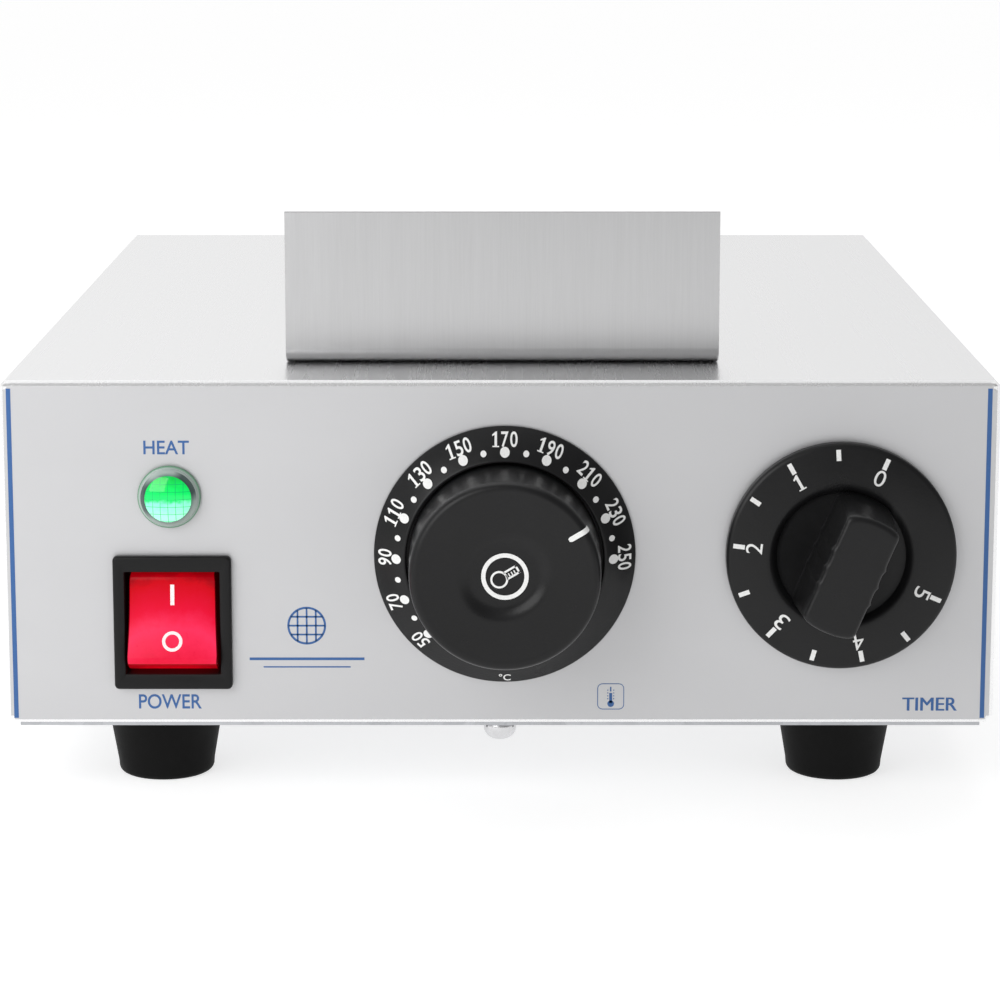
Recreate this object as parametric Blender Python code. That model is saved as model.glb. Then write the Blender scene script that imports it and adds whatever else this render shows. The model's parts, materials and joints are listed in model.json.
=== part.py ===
"""Control base of a countertop waffle iron: a folded steel case on rubber feet, with its controls,
wiring, and the bracket on top that carries the baking plates.

Metres, +Z up, front facing -Y. The origin is on the table, at the middle of the object's box.
"""

import math

import bmesh
import bpy
from mathutils import Matrix, Vector

MM = 0.001
GAP = 0.3 * MM  # clearance kept between pieces that lie on each other

# Case
CASE_WIDTH = 250 * MM
CASE_DEPTH = 300 * MM
CASE_BOTTOM = 19 * MM
CASE_TOP = 107 * MM
SHEET = 1.2 * MM
FOLD_RADIUS = 1.5 * MM
LIP = 14 * MM  # return flanges round the open bottom and back
CONTROL_PROUD = 27.4 * MM  # how far the knobs stand out of the front
GLAND_PROUD = 27.4 * MM  # how far the cable gland stands out of the back
FRONT = CONTROL_PROUD - (CONTROL_PROUD + CASE_DEPTH + GLAND_PROUD) / 2
BACK = FRONT + CASE_DEPTH
INNER_FRONT = FRONT + SHEET
SIDE = CASE_WIDTH / 2

# Covers
COVER_SHEET = 1.0 * MM
BASE_TOP = CASE_BOTTOM - GAP
BASE_BOTTOM = BASE_TOP - COVER_SHEET
BASE_INSET = 3 * MM
REAR_INSET = 3 * MM
REAR_FACE = BACK + GAP + COVER_SHEET

# Front film
FILM = 0.25 * MM
FILM_FACE = FRONT - GAP - FILM
PANEL_FACE = FILM_FACE - GAP  # where the controls' collars start

# Controls, as seen from the front
SHAFT_Z = CASE_BOTTOM + 44.1 * MM
THERMOSTAT_X = 1.2 * MM
TIMER_X = 85.4 * MM
SWITCH_X = -82.3 * MM
SWITCH_Z = CASE_BOTTOM + 26.7 * MM
LAMP_X = -82.7 * MM
LAMP_Z = CASE_BOTTOM + 58.9 * MM
CONTROL_SCREW_SPACING = 14 * MM
SCREW_HOLE = 2.2 * MM
SHAFT_RADIUS = 3 * MM
SHAFT_BORE = SHAFT_RADIUS + GAP

# Thermostat dial and knob
DIAL_RADIUS = 32.8 * MM
DIAL_THICKNESS = 3.2 * MM
DIAL_FACE = PANEL_FACE - DIAL_THICKNESS
THERMOSTAT_KNOB_BASE_RADIUS = 24.0 * MM
THERMOSTAT_KNOB_FACE_RADIUS = 23.5 * MM
THERMOSTAT_SET_ANGLE = 59  # clockwise from the top, in degrees: 221 degrees Celsius

# Timer knob
TIMER_SKIRT_RADIUS = 28.5 * MM
TIMER_RECESS_RADIUS = 17.35 * MM
TIMER_SET_ANGLE = 24  # clockwise from the top: just under half a minute
GRIP_WIDTH = 13.3 * MM
GRIP_LENGTH = 27.4 * MM
GRIP_BASE_LENGTH = 33 * MM

# Rocker switch
BEZEL_WIDTH, BEZEL_HEIGHT, BEZEL_THICKNESS = 29.7 * MM, 34.3 * MM, 2 * MM
SWITCH_BODY_WIDTH, SWITCH_BODY_HEIGHT, SWITCH_BODY_BACK = 25.6 * MM, 30.2 * MM, 24 * MM
WINDOW_WIDTH, WINDOW_HEIGHT = 23.3 * MM, 25.9 * MM
ROCKER_PIVOT_DEPTH = 3 * MM
ROCKER_RADIUS = 12.7 * MM
ROCKER_CORNER_ANGLE = 31
ROCKER_TILT = 11  # either side of level, in degrees

# Support bracket
BRACKET_WIDTH = 113.3 * MM
BRACKET_HEIGHT = 39 * MM
BRACKET_SETBACK = 26 * MM
BRACKET_SHEET = 1.5 * MM
BRACKET_BEND = 4 * MM
BRACKET_FLANGE = 30 * MM
BRACKET_FOOT = CASE_TOP + GAP
BRACKET_FRONT = FRONT + BRACKET_SETBACK
LEAD_Y = BRACKET_FRONT + 47 * MM  # where the leads come up through the top

# Feet
FOOT_X = 87.2 * MM
FOOT_SETBACK = 25 * MM
FOOT_TOP_RADIUS = 15 * MM
FOOT_HEIGHT = BASE_BOTTOM - GAP


def material(name, colour, roughness, metallic=0.0):
    made = bpy.data.materials.new(name)
    made.use_nodes = True
    shader = made.node_tree.nodes["Principled BSDF"]
    shader.inputs["Base Color"].default_value = (*colour, 1)
    shader.inputs["Roughness"].default_value = roughness
    shader.inputs["Metallic"].default_value = metallic
    return made


def add(name, mesh_builder, look, location=(0, 0, 0), smooth=True):
    """Links the bmesh as a named object with one material."""
    bmesh.ops.recalc_face_normals(mesh_builder, faces=mesh_builder.faces)
    mesh = bpy.data.meshes.new(name)
    mesh_builder.to_mesh(mesh)
    mesh_builder.free()
    if smooth:
        mesh.shade_smooth()
        mesh.set_sharp_from_angle(angle=math.radians(35))
    mesh.materials.append(look)
    made = bpy.data.objects.new(name, mesh)
    made.location = location
    bpy.context.scene.collection.objects.link(made)
    return made


def grow_box(builder, low, high):
    """Adds a box between two corners to a bmesh."""
    low, high = Vector(low), Vector(high)
    size = high - low
    place = Matrix.Translation((low + high) / 2) @ Matrix.Diagonal((*size, 1))
    bmesh.ops.create_cube(builder, size=1, matrix=place)


def grow_rod(builder, start, end, radius, segments=16):
    """Adds a cylinder between two points to a bmesh."""
    start, end = Vector(start), Vector(end)
    along = end - start
    turn = along.to_track_quat("Z", "Y").to_matrix().to_4x4()
    bmesh.ops.create_cone(
        builder,
        cap_ends=True,
        segments=segments,
        radius1=radius,
        radius2=radius,
        depth=along.length,
        matrix=Matrix.Translation((start + end) / 2) @ turn,
    )


def block(name, low, high, look, bevel=0.0):
    """A box between two corners, its edges rounded by bevel."""
    builder = bmesh.new()
    grow_box(builder, low, high)
    if bevel:
        bmesh.ops.bevel(builder, geom=builder.edges[:], offset=bevel, segments=2, affect="EDGES")
    return add(name, builder, look)


def turned(name, profile, location, look, forward=(0, 0, 1), segments=24, builder=None):
    """A solid of revolution. profile lists (radius, height) along forward; a profile that
    starts and ends off the axis closes on itself, as a ring does."""
    own = builder is None
    builder = bmesh.new() if own else builder
    turn = Vector(forward).to_track_quat("Z", "Y").to_matrix()
    place = Vector((0, 0, 0)) if own else Vector(location)
    rings = []
    for radius, height in profile:
        steps = 1 if radius < 1e-9 else segments
        angles = [2 * math.pi * i / segments for i in range(steps)]
        points = [Vector((radius * math.cos(a), radius * math.sin(a), height)) for a in angles]
        rings.append([builder.verts.new(place + turn @ point) for point in points])
    pairs = list(zip(rings, rings[1:]))
    if len(rings[0]) > 1 and len(rings[-1]) > 1:
        pairs.append((rings[-1], rings[0]))
    for one, other in pairs:
        for i in range(segments):
            j = (i + 1) % segments
            if len(one) == 1:
                corners = [one[0], other[j], other[i]]
            elif len(other) == 1:
                corners = [one[i], one[j], other[0]]
            else:
                corners = [one[i], one[j], other[j], other[i]]
            builder.faces.new(corners)
    return add(name, builder, look, location) if own else None


def extruded(name, outline, start, end, look, axis="X", location=(0, 0, 0)):
    """A prism. The outline is in the plane across axis: (y, z) for X, (x, z) for Y."""
    builder = bmesh.new()
    if axis == "X":
        points = [Vector((start, a, b)) for a, b in outline]
        along = Vector((end - start, 0, 0))
    else:
        points = [Vector((a, start, b)) for a, b in outline]
        along = Vector((0, end - start, 0))
    face = builder.faces.new([builder.verts.new(point) for point in points])
    grown = bmesh.ops.extrude_face_region(builder, geom=[face])
    moved = [item for item in grown["geom"] if isinstance(item, bmesh.types.BMVert)]
    bmesh.ops.translate(builder, verts=moved, vec=along)
    return add(name, builder, look, location)


def arc(centre, radius, start, end, steps):
    """Points on a circle, angles in degrees."""
    angles = [math.radians(start + (end - start) * i / steps) for i in range(steps + 1)]
    return [(centre[0] + radius * math.cos(a), centre[1] + radius * math.sin(a)) for a in angles]


def cutter(name, builder):
    made = add(name, builder, STEEL)
    made.hide_render = True
    made.display_type = "WIRE"
    return made


def combine(target, other, operation="DIFFERENCE"):
    modifier = target.modifiers.new(other.name, "BOOLEAN")
    modifier.operation = operation
    modifier.solver = "EXACT"
    modifier.object = other
    if operation == "UNION":
        other.hide_render = True
        other.display_type = "WIRE"


def screw(name, location, look, forward=(0, 0, -1), head=3.9 * MM, head_height=2.6 * MM, shank=6 * MM):
    """A pan-head screw. location is the middle of the head's underside; forward is out of the head."""
    radius = 1.9 * MM
    profile = [
        (0, head_height),
        (head * 0.5, head_height * 0.93),
        (head * 0.87, head_height * 0.62),
        (head, head_height * 0.2),
        (head, 0),
        (radius, 0),
        (radius, -shank),
        (0, -shank),
    ]
    return turned(name, profile, location, look, forward, segments=16)


STEEL = material("stainless_sheet", (0.72, 0.72, 0.73), 0.28, 1.0)
BRUSHED = material("brushed_steel", (0.62, 0.62, 0.63), 0.35, 1.0)
GALVANISED = material("galvanised_sheet", (0.55, 0.56, 0.57), 0.45, 1.0)
FILM_GREY = material("grey_film", (0.62, 0.62, 0.64), 0.45)
BLACK = material("black_plastic", (0.02, 0.02, 0.021), 0.45)
RUBBER = material("black_rubber", (0.012, 0.012, 0.012), 0.7)
RED = material("red_lens", (0.7, 0.005, 0.02), 0.2)
GREEN = material("green_lens", (0.0, 0.5, 0.12), 0.1)
SCREW_STEEL = material("screw_steel", (0.75, 0.75, 0.76), 0.2, 1.0)
BRASS = material("brass", (0.75, 0.6, 0.3), 0.3, 1.0)
COPPER = material("copper", (0.72, 0.42, 0.28), 0.3, 1.0)
CERAMIC = material("ceramic", (0.82, 0.8, 0.75), 0.4)
WHITE_NYLON = material("white_nylon", (0.8, 0.79, 0.75), 0.5)
BROWN_WIRE = material("brown_insulation", (0.16, 0.06, 0.03), 0.5)
BLUE_WIRE = material("blue_insulation", (0.02, 0.08, 0.35), 0.5)
GREEN_WIRE = material("green_insulation", (0.12, 0.4, 0.03), 0.5)


def grow_slots(builder, centre, count, length, across, along, through):
    """Adds a row of slot cutters. across, along and through are axis numbers."""
    pitch, width, depth = 9 * MM, 3 * MM, 10 * MM
    for i in range(count):
        middle = Vector(centre)
        middle[across] += (i - (count - 1) / 2) * pitch
        half = Vector((0, 0, 0))
        half[across] = width / 2
        half[along] = length / 2
        half[through] = depth / 2
        grow_box(builder, middle - half, middle + half)


def make_case():
    shell = bmesh.new()
    grow_box(shell, (-SIDE, FRONT, CASE_BOTTOM), (SIDE, BACK, CASE_TOP))
    bmesh.ops.bevel(shell, geom=shell.edges[:], offset=FOLD_RADIUS, segments=3, affect="EDGES")
    case = add("housing_shell", shell, STEEL)
    hollow = bmesh.new()
    grow_box(
        hollow,
        (-SIDE + SHEET, INNER_FRONT, CASE_BOTTOM + SHEET),
        (SIDE - SHEET, BACK - SHEET, CASE_TOP - SHEET),
    )
    combine(case, cutter("case_hollow", hollow))
    mouths = bmesh.new()
    grow_box(
        mouths,
        (-SIDE + LIP, FRONT + LIP, CASE_BOTTOM - LIP),
        (SIDE - LIP, BACK - LIP, CASE_BOTTOM + 2 * SHEET),
    )
    grow_box(
        mouths,
        (-SIDE + LIP, BACK - 2 * SHEET, CASE_BOTTOM + LIP),
        (SIDE - LIP, BACK + LIP, CASE_TOP - LIP),
    )
    combine(case, cutter("case_mouths", mouths))
    holes = bmesh.new()
    through = (FRONT - LIP, FRONT + LIP)
    for x in (THERMOSTAT_X, TIMER_X):
        grow_rod(holes, (x, through[0], SHAFT_Z), (x, through[1], SHAFT_Z), 5 * MM)
        for side in (-1, 1):
            screw_x = x + side * CONTROL_SCREW_SPACING
            low, high = (screw_x, through[0], SHAFT_Z), (screw_x, through[1], SHAFT_Z)
            grow_rod(holes, low, high, SCREW_HOLE, 12)
    grow_rod(holes, (LAMP_X, through[0], LAMP_Z), (LAMP_X, through[1], LAMP_Z), 6 * MM)
    half_width, half_height = SWITCH_BODY_WIDTH / 2 + GAP, SWITCH_BODY_HEIGHT / 2 + GAP
    grow_box(
        holes,
        (SWITCH_X - half_width, through[0], SWITCH_Z - half_height),
        (SWITCH_X + half_width, through[1], SWITCH_Z + half_height),
    )
    grow_rod(holes, (0, LEAD_Y, CASE_TOP - LIP), (0, LEAD_Y, CASE_TOP + LIP), 8 * MM)
    for side in (-1, 1):
        x = side * BRACKET_SCREW_X
        low, high = (x, BRACKET_SCREW_Y, CASE_TOP - LIP), (x, BRACKET_SCREW_Y, CASE_TOP + LIP)
        grow_rod(holes, low, high, SCREW_HOLE, 12)
        vent_middle = (side * SIDE, BACK - 75 * MM, CASE_BOTTOM + 42 * MM)
        grow_slots(holes, vent_middle, 8, 34 * MM, across=1, along=2, through=0)
    for x, y in BASE_SCREWS.values():
        low, high = (x, y, CASE_BOTTOM - LIP), (x, y, CASE_BOTTOM + 3 * MM)
        grow_rod(holes, low, high, SCREW_HOLE, 12)
    for x, z in REAR_SCREWS.values():
        grow_rod(holes, (x, BACK - 3 * MM, z), (x, BACK + LIP, z), SCREW_HOLE, 12)
    combine(case, cutter("case_holes", holes))


BRACKET_SCREW_X = 38 * MM
BRACKET_SCREW_Y = BRACKET_FRONT + 19 * MM
BASE_SCREW_INSET = 8 * MM
BASE_SCREWS = {
    "front": (0, FRONT + BASE_SCREW_INSET),
    "back": (0, BACK - BASE_SCREW_INSET),
    "left": (-SIDE + BASE_SCREW_INSET, (FRONT + BACK) / 2),
    "right": (SIDE - BASE_SCREW_INSET, (FRONT + BACK) / 2),
}
REAR_SCREW_X = SIDE - 9 * MM
REAR_SCREW_Z = (CASE_BOTTOM + 9 * MM, CASE_TOP - 9 * MM)
REAR_SCREWS = {
    f"{height}_{side}": (sign * REAR_SCREW_X, z)
    for side, sign in (("left", -1), ("right", 1))
    for height, z in zip(("lower", "upper"), REAR_SCREW_Z)
}
FEET = {
    f"{end}_{side}": (sign * FOOT_X, y)
    for end, y in (("front", FRONT + FOOT_SETBACK), ("back", BACK - FOOT_SETBACK))
    for side, sign in (("left", -1), ("right", 1))
}
GLAND_X, GLAND_Z = 72 * MM, CASE_BOTTOM + 27 * MM
GLAND_THREAD_RADIUS = 9.6 * MM
GLAND_BORE_RADIUS = 4.4 * MM
GLAND_NUT_Y = BACK - SHEET - GAP
EARTH_X, EARTH_Y = 96 * MM, BACK - 62 * MM


def make_covers():
    base = block(
        "base_plate",
        (-SIDE + BASE_INSET, FRONT + BASE_INSET, BASE_BOTTOM),
        (SIDE - BASE_INSET, BACK - BASE_INSET, BASE_TOP),
        GALVANISED,
    )
    holes = bmesh.new()
    low, high = BASE_BOTTOM - LIP, BASE_TOP + 3 * MM
    for x, y in (*FEET.values(), *BASE_SCREWS.values(), (EARTH_X, EARTH_Y)):
        grow_rod(holes, (x, y, low), (x, y, high), SCREW_HOLE, 12)
    for y in (FRONT + 110 * MM, FRONT + 165 * MM):
        vent_middle = (0, y, BASE_BOTTOM)
        grow_slots(holes, vent_middle, 10, 40 * MM, across=0, along=1, through=2)
    combine(base, cutter("base_holes", holes))

    rear = block(
        "rear_panel",
        (-SIDE + REAR_INSET, BACK + GAP, CASE_BOTTOM + REAR_INSET),
        (SIDE - REAR_INSET, REAR_FACE, CASE_TOP - REAR_INSET),
        STEEL,
    )
    holes = bmesh.new()
    for x, z in REAR_SCREWS.values():
        grow_rod(holes, (x, BACK - LIP, z), (x, BACK + LIP, z), SCREW_HOLE, 12)
    low, high = (GLAND_X, BACK - LIP, GLAND_Z), (GLAND_X, BACK + LIP, GLAND_Z)
    grow_rod(holes, low, high, GLAND_THREAD_RADIUS + GAP, 24)
    vent_middle = (-30 * MM, BACK, CASE_BOTTOM + 52 * MM)
    grow_slots(holes, vent_middle, 12, 34 * MM, across=0, along=2, through=1)
    combine(rear, cutter("rear_holes", holes))

    for end, (x, y) in BASE_SCREWS.items():
        screw(
            f"base_screw_{end}",
            (x, y, BASE_BOTTOM - GAP),
            SCREW_STEEL,
            head=4.2 * MM,
            head_height=4.6 * MM,
            shank=8 * MM,
        )
    for place, (x, z) in REAR_SCREWS.items():
        screw(f"rear_screw_{place}", (x, REAR_FACE + GAP, z), SCREW_STEEL, forward=(0, 1, 0), shank=7 * MM)


def make_feet():
    counterbore, bore, counterbore_height = 5.2 * MM, SCREW_HOLE, 7 * MM
    profile = [
        (counterbore, 0),
        (FOOT_TOP_RADIUS * 0.73, 0),
        (FOOT_TOP_RADIUS * 0.79, 0.7 * MM),
        (FOOT_TOP_RADIUS * 0.82, 2.2 * MM),
        (FOOT_TOP_RADIUS, FOOT_HEIGHT),
        (bore, FOOT_HEIGHT),
        (bore, counterbore_height),
        (counterbore, counterbore_height),
    ]
    for place, (x, y) in FEET.items():
        turned(f"foot_{place}", profile, (x, y, 0), RUBBER, segments=28)
        screw(
            f"foot_screw_{place}",
            (x, y, counterbore_height - GAP),
            SCREW_STEEL,
            shank=20 * MM,
        )


def make_film():
    """The printed film on the front, with its cut-outs."""
    margin = 1.2 * MM
    builder = bmesh.new()
    grow_box(
        builder,
        (-SIDE + margin, FILM_FACE, CASE_BOTTOM + margin),
        (SIDE - margin, FILM_FACE + FILM, CASE_TOP - margin),
    )
    upright = [e for e in builder.edges if abs(e.verts[0].co.y - e.verts[1].co.y) > FILM / 2]
    bmesh.ops.bevel(builder, geom=upright, offset=1 * MM, segments=3, affect="EDGES")
    film = add("front_label", builder, FILM_GREY)
    holes = bmesh.new()
    near, far = FRONT - 5 * MM, FRONT + 5 * MM
    for x in (THERMOSTAT_X, TIMER_X):
        grow_rod(holes, (x, near, SHAFT_Z), (x, far, SHAFT_Z), 20 * MM, 32)
    grow_rod(holes, (LAMP_X, near, LAMP_Z), (LAMP_X, far, LAMP_Z), 6.2 * MM)
    half_width, half_height = SWITCH_BODY_WIDTH / 2 + GAP, SWITCH_BODY_HEIGHT / 2 + GAP
    grow_box(
        holes,
        (SWITCH_X - half_width, near, SWITCH_Z - half_height),
        (SWITCH_X + half_width, far, SWITCH_Z + half_height),
    )
    combine(film, cutter("film_holes", holes))


def make_bracket():
    """A folded angle: an upright front wall, and a flange that runs back along the case."""
    bend = (BRACKET_FRONT + BRACKET_BEND, BRACKET_FOOT + BRACKET_BEND)
    back = BRACKET_FRONT + BRACKET_FLANGE
    inner = BRACKET_BEND - BRACKET_SHEET
    outline = [
        (BRACKET_FRONT, BRACKET_FOOT + BRACKET_HEIGHT),
        *arc(bend, BRACKET_BEND, 180, 270, 6),
        (back, BRACKET_FOOT),
        (back, BRACKET_FOOT + BRACKET_SHEET),
        *arc(bend, inner, 270, 180, 6),
        (BRACKET_FRONT + BRACKET_SHEET, BRACKET_FOOT + BRACKET_HEIGHT),
    ]
    bracket = extruded("support_bracket", outline, -BRACKET_WIDTH / 2, BRACKET_WIDTH / 2, BRUSHED)
    holes = bmesh.new()
    flange_top = BRACKET_FOOT + BRACKET_SHEET
    for side, sign in (("left", -1), ("right", 1)):
        x = sign * BRACKET_SCREW_X
        low = (x, BRACKET_SCREW_Y, BRACKET_FOOT - LIP)
        grow_rod(holes, low, (x, BRACKET_SCREW_Y, flange_top + 3 * MM), SCREW_HOLE, 12)
        place = (x, BRACKET_SCREW_Y, flange_top + GAP)
        screw(f"bracket_screw_{side}", place, SCREW_STEEL, forward=(0, 0, 1), shank=8 * MM)
    combine(bracket, cutter("bracket_holes", holes))


def d_outline(radius):
    """A round shaft's outline with a flat on top."""
    return arc((0, 0), radius, 125, 415, 20)


def make_shaft(name, x, look, reach):
    """A flatted shaft from inside its mechanism to inside its knob."""
    place = (x, FRONT, SHAFT_Z)
    return extruded(name, d_outline(SHAFT_RADIUS), -reach, 9 * MM, look, axis="Y", location=place)


def control_screws(name, x):
    for side, sign in (("left", -1), ("right", 1)):
        place = (x + sign * CONTROL_SCREW_SPACING, FRONT - GAP, SHAFT_Z)
        screw(
            f"{name}_screw_{side}",
            place,
            SCREW_STEEL,
            forward=(0, -1, 0),
            head=3.6 * MM,
            head_height=1.6 * MM,
            shank=2.6 * MM,
        )


def mechanism(name, x, size, look, boss_radius, boss_depth):
    """A control's body behind the front: mounting plate, box and a round boss at the back."""
    width, height, depth = size
    front = INNER_FRONT + GAP
    plate = front + 1.2 * MM
    low = (x - width / 2, plate - 0.4 * MM, SHAFT_Z - height / 2)
    high = (x + width / 2, plate + depth, SHAFT_Z + height / 2)
    body = block(name, low, high, look)
    flange = bmesh.new()
    reach = CONTROL_SCREW_SPACING + 5 * MM
    grow_box(flange, (x - reach, front, SHAFT_Z - 11 * MM), (x + reach, plate, SHAFT_Z + 11 * MM))
    combine(body, cutter(name + "_flange", flange), "UNION")
    boss = bmesh.new()
    back = plate + depth
    grow_rod(boss, (x, back - 1 * MM, SHAFT_Z), (x, back + boss_depth, SHAFT_Z), boss_radius, 24)
    combine(body, cutter(name + "_boss", boss), "UNION")
    holes = bmesh.new()
    grow_rod(holes, (x, front - 5 * MM, SHAFT_Z), (x, FRONT + 9.6 * MM, SHAFT_Z), SHAFT_BORE, 20)
    for sign in (-1, 1):
        screw_x = x + sign * CONTROL_SCREW_SPACING
        low, high = (screw_x, front - 5 * MM, SHAFT_Z), (screw_x, front + 2.5 * MM, SHAFT_Z)
        grow_rod(holes, low, high, SCREW_HOLE, 12)
    combine(body, cutter(name + "_holes", holes))
    return body


THERMOSTAT_SIZE = (42 * MM, 34 * MM, 30 * MM)
TIMER_SIZE = (42 * MM, 42 * MM, 28 * MM)
BOSS_DEPTH = 6 * MM


def make_thermostat():
    mechanism("thermostat_body", THERMOSTAT_X, THERMOSTAT_SIZE, GALVANISED, 11 * MM, BOSS_DEPTH)
    control_screws("thermostat", THERMOSTAT_X)
    make_shaft("thermostat_shaft", THERMOSTAT_X, BRASS, 20 * MM)
    recess_radius, recess, hole = 20 * MM, 2.2 * MM, 5 * MM
    well, crown, edge = THERMOSTAT_KNOB_BASE_RADIUS + 0.6 * MM, 7 * MM, 1 * MM
    dial_profile = [
        (hole, recess),
        (recess_radius, recess),
        (recess_radius, 0),
        (DIAL_RADIUS, 0),
        (DIAL_RADIUS, edge),
        (well + 0.6 * MM, crown),
        (well, crown),
        (well, DIAL_THICKNESS),
        (hole, DIAL_THICKNESS),
    ]
    place = (THERMOSTAT_X, PANEL_FACE, SHAFT_Z)
    turned("thermostat_dial", dial_profile, place, BLACK, forward=(0, -1, 0), segments=48)
    height = CONTROL_PROUD + DIAL_FACE - FRONT - 0.5 * MM
    wall, roof, hub, bore_depth = 2.2 * MM, 3 * MM, 6 * MM, 18 * MM
    inner = THERMOSTAT_KNOB_FACE_RADIUS - wall
    face = THERMOSTAT_KNOB_FACE_RADIUS
    knob_profile = [
        (0, height),
        (face - 4 * MM, height),
        (face - 1.6 * MM, height - 0.3 * MM),
        (face - 0.5 * MM, height - 1.0 * MM),
        (face, height - 2.4 * MM),
        (THERMOSTAT_KNOB_BASE_RADIUS, 0),
        (inner, 0),
        (inner, height - roof),
        (hub, height - roof),
        (hub, 3 * MM),
        (SHAFT_BORE, 3 * MM),
        (SHAFT_BORE, bore_depth),
        (0, bore_depth),
    ]
    place = (THERMOSTAT_X, FRONT - CONTROL_PROUD + height, SHAFT_Z)
    turned("thermostat_knob", knob_profile, place, BLACK, forward=(0, -1, 0), segments=48)


def make_timer():
    mechanism("timer_body", TIMER_X, TIMER_SIZE, GALVANISED, 8 * MM, BOSS_DEPTH)
    control_screws("timer", TIMER_X)
    make_shaft("timer_shaft", TIMER_X, BRASS, 20 * MM)
    edge, underside, rim, floor, crown = 1.2 * MM, 2.8 * MM, 4.2 * MM, 4.2 * MM, 5.4 * MM
    skirt_profile = [
        (0, floor),
        (TIMER_RECESS_RADIUS - 0.7 * MM, floor),
        (TIMER_RECESS_RADIUS, crown),
        (TIMER_RECESS_RADIUS + 1 * MM, crown + 0.1 * MM),
        (TIMER_SKIRT_RADIUS - 0.6 * MM, rim),
        (TIMER_SKIRT_RADIUS, rim - 0.6 * MM),
        (TIMER_SKIRT_RADIUS, edge),
        (TIMER_SKIRT_RADIUS - 1.8 * MM, edge),
        (TIMER_SKIRT_RADIUS - 1.8 * MM, underside),
        (0, underside),
    ]
    place = (TIMER_X, FRONT, SHAFT_Z)
    knob = turned("timer_knob", skirt_profile, place, BLACK, forward=(0, -1, 0), segments=48)
    lean = math.radians(TIMER_SET_ANGLE)
    builder = bmesh.new()
    rings = []
    bulge, chamfer = 2.2 * MM, 1.2 * MM
    sections = (
        (3.5 * MM, GRIP_BASE_LENGTH, GRIP_WIDTH),
        (CONTROL_PROUD - chamfer, GRIP_LENGTH, GRIP_WIDTH),
        (CONTROL_PROUD, GRIP_LENGTH - 2 * chamfer, GRIP_WIDTH - 2 * chamfer),
    )
    for proud, length, width in sections:
        half_width = width / 2
        outline = []
        for sign in (1, -1):
            ends = [(half_width, length / 2 - bulge), (0, length / 2), (-half_width, length / 2 - bulge)]
            outline += [(sign * across, sign * along) for across, along in ends]
        rings.append([builder.verts.new((across, -proud, along)) for across, along in outline])
    builder.faces.new(rings[0])
    builder.faces.new(rings[-1])
    for one, other in zip(rings, rings[1:]):
        for i in range(len(one)):
            j = (i + 1) % len(one)
            builder.faces.new([one[i], one[j], other[j], other[i]])
    grip = cutter("timer_grip", builder)
    grip.location = knob.location
    grip.rotation_euler = (0, lean, 0)
    combine(knob, grip, "UNION")
    bore = bmesh.new()
    grow_rod(bore, (TIMER_X, FRONT - 1 * MM, SHAFT_Z), (TIMER_X, FRONT - 21 * MM, SHAFT_Z), SHAFT_BORE, 20)
    combine(knob, cutter("timer_bore", bore))


def make_switch():
    face = PANEL_FACE - BEZEL_THICKNESS
    housing = block(
        "switch_housing",
        (SWITCH_X - BEZEL_WIDTH / 2, face, SWITCH_Z - BEZEL_HEIGHT / 2),
        (SWITCH_X + BEZEL_WIDTH / 2, PANEL_FACE, SWITCH_Z + BEZEL_HEIGHT / 2),
        BLACK,
        bevel=0.6 * MM,
    )
    body = bmesh.new()
    half_width, half_height = SWITCH_BODY_WIDTH / 2, SWITCH_BODY_HEIGHT / 2
    back = FRONT + SWITCH_BODY_BACK
    grow_box(
        body,
        (SWITCH_X - half_width, PANEL_FACE - 0.8 * MM, SWITCH_Z - half_height),
        (SWITCH_X + half_width, back, SWITCH_Z + half_height),
    )
    combine(housing, cutter("switch_body", body), "UNION")
    window = bmesh.new()
    grow_box(
        window,
        (SWITCH_X - WINDOW_WIDTH / 2, face - 2 * MM, SWITCH_Z - WINDOW_HEIGHT / 2),
        (SWITCH_X + WINDOW_WIDTH / 2, FRONT + 12 * MM, SWITCH_Z + WINDOW_HEIGHT / 2),
    )
    combine(housing, cutter("switch_window", window))

    rear_angle = 18
    dip = 1.0 * MM
    corner = ROCKER_RADIUS * math.sin(math.radians(ROCKER_CORNER_ANGLE))
    upper = arc((0, 0), ROCKER_RADIUS, 90 - rear_angle, 90 + ROCKER_CORNER_ANGLE, 6)
    lower = arc((0, 0), ROCKER_RADIUS, 270 - ROCKER_CORNER_ANGLE, 270 + rear_angle, 6)
    outline = [*upper, (-corner + dip, 0), *lower]
    half_width = WINDOW_WIDTH / 2 - 0.35 * MM
    place = (SWITCH_X, FRONT + ROCKER_PIVOT_DEPTH, SWITCH_Z)
    rocker = extruded("switch_rocker", outline, -half_width, half_width, RED, location=place)
    rocker.rotation_euler = (math.radians(-ROCKER_TILT), 0, 0)

    tab_width, tab_thickness, tab_length = 6.3 * MM, 0.8 * MM, 9 * MM
    for row, z in (("upper", SWITCH_Z + TAB_OFFSET_Z), ("lower", SWITCH_Z - TAB_OFFSET_Z)):
        for side, x in (("left", SWITCH_X - TAB_OFFSET_X), ("right", SWITCH_X + TAB_OFFSET_X)):
            block(
                f"switch_tab_{row}_{side}",
                (x - tab_thickness / 2, back + GAP, z - tab_width / 2),
                (x + tab_thickness / 2, back + GAP + tab_length, z + tab_width / 2),
                BRASS,
            )


TAB_OFFSET_X, TAB_OFFSET_Z = 6 * MM, 8 * MM
TAB_END = FRONT + SWITCH_BODY_BACK + GAP + 9 * MM


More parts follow.
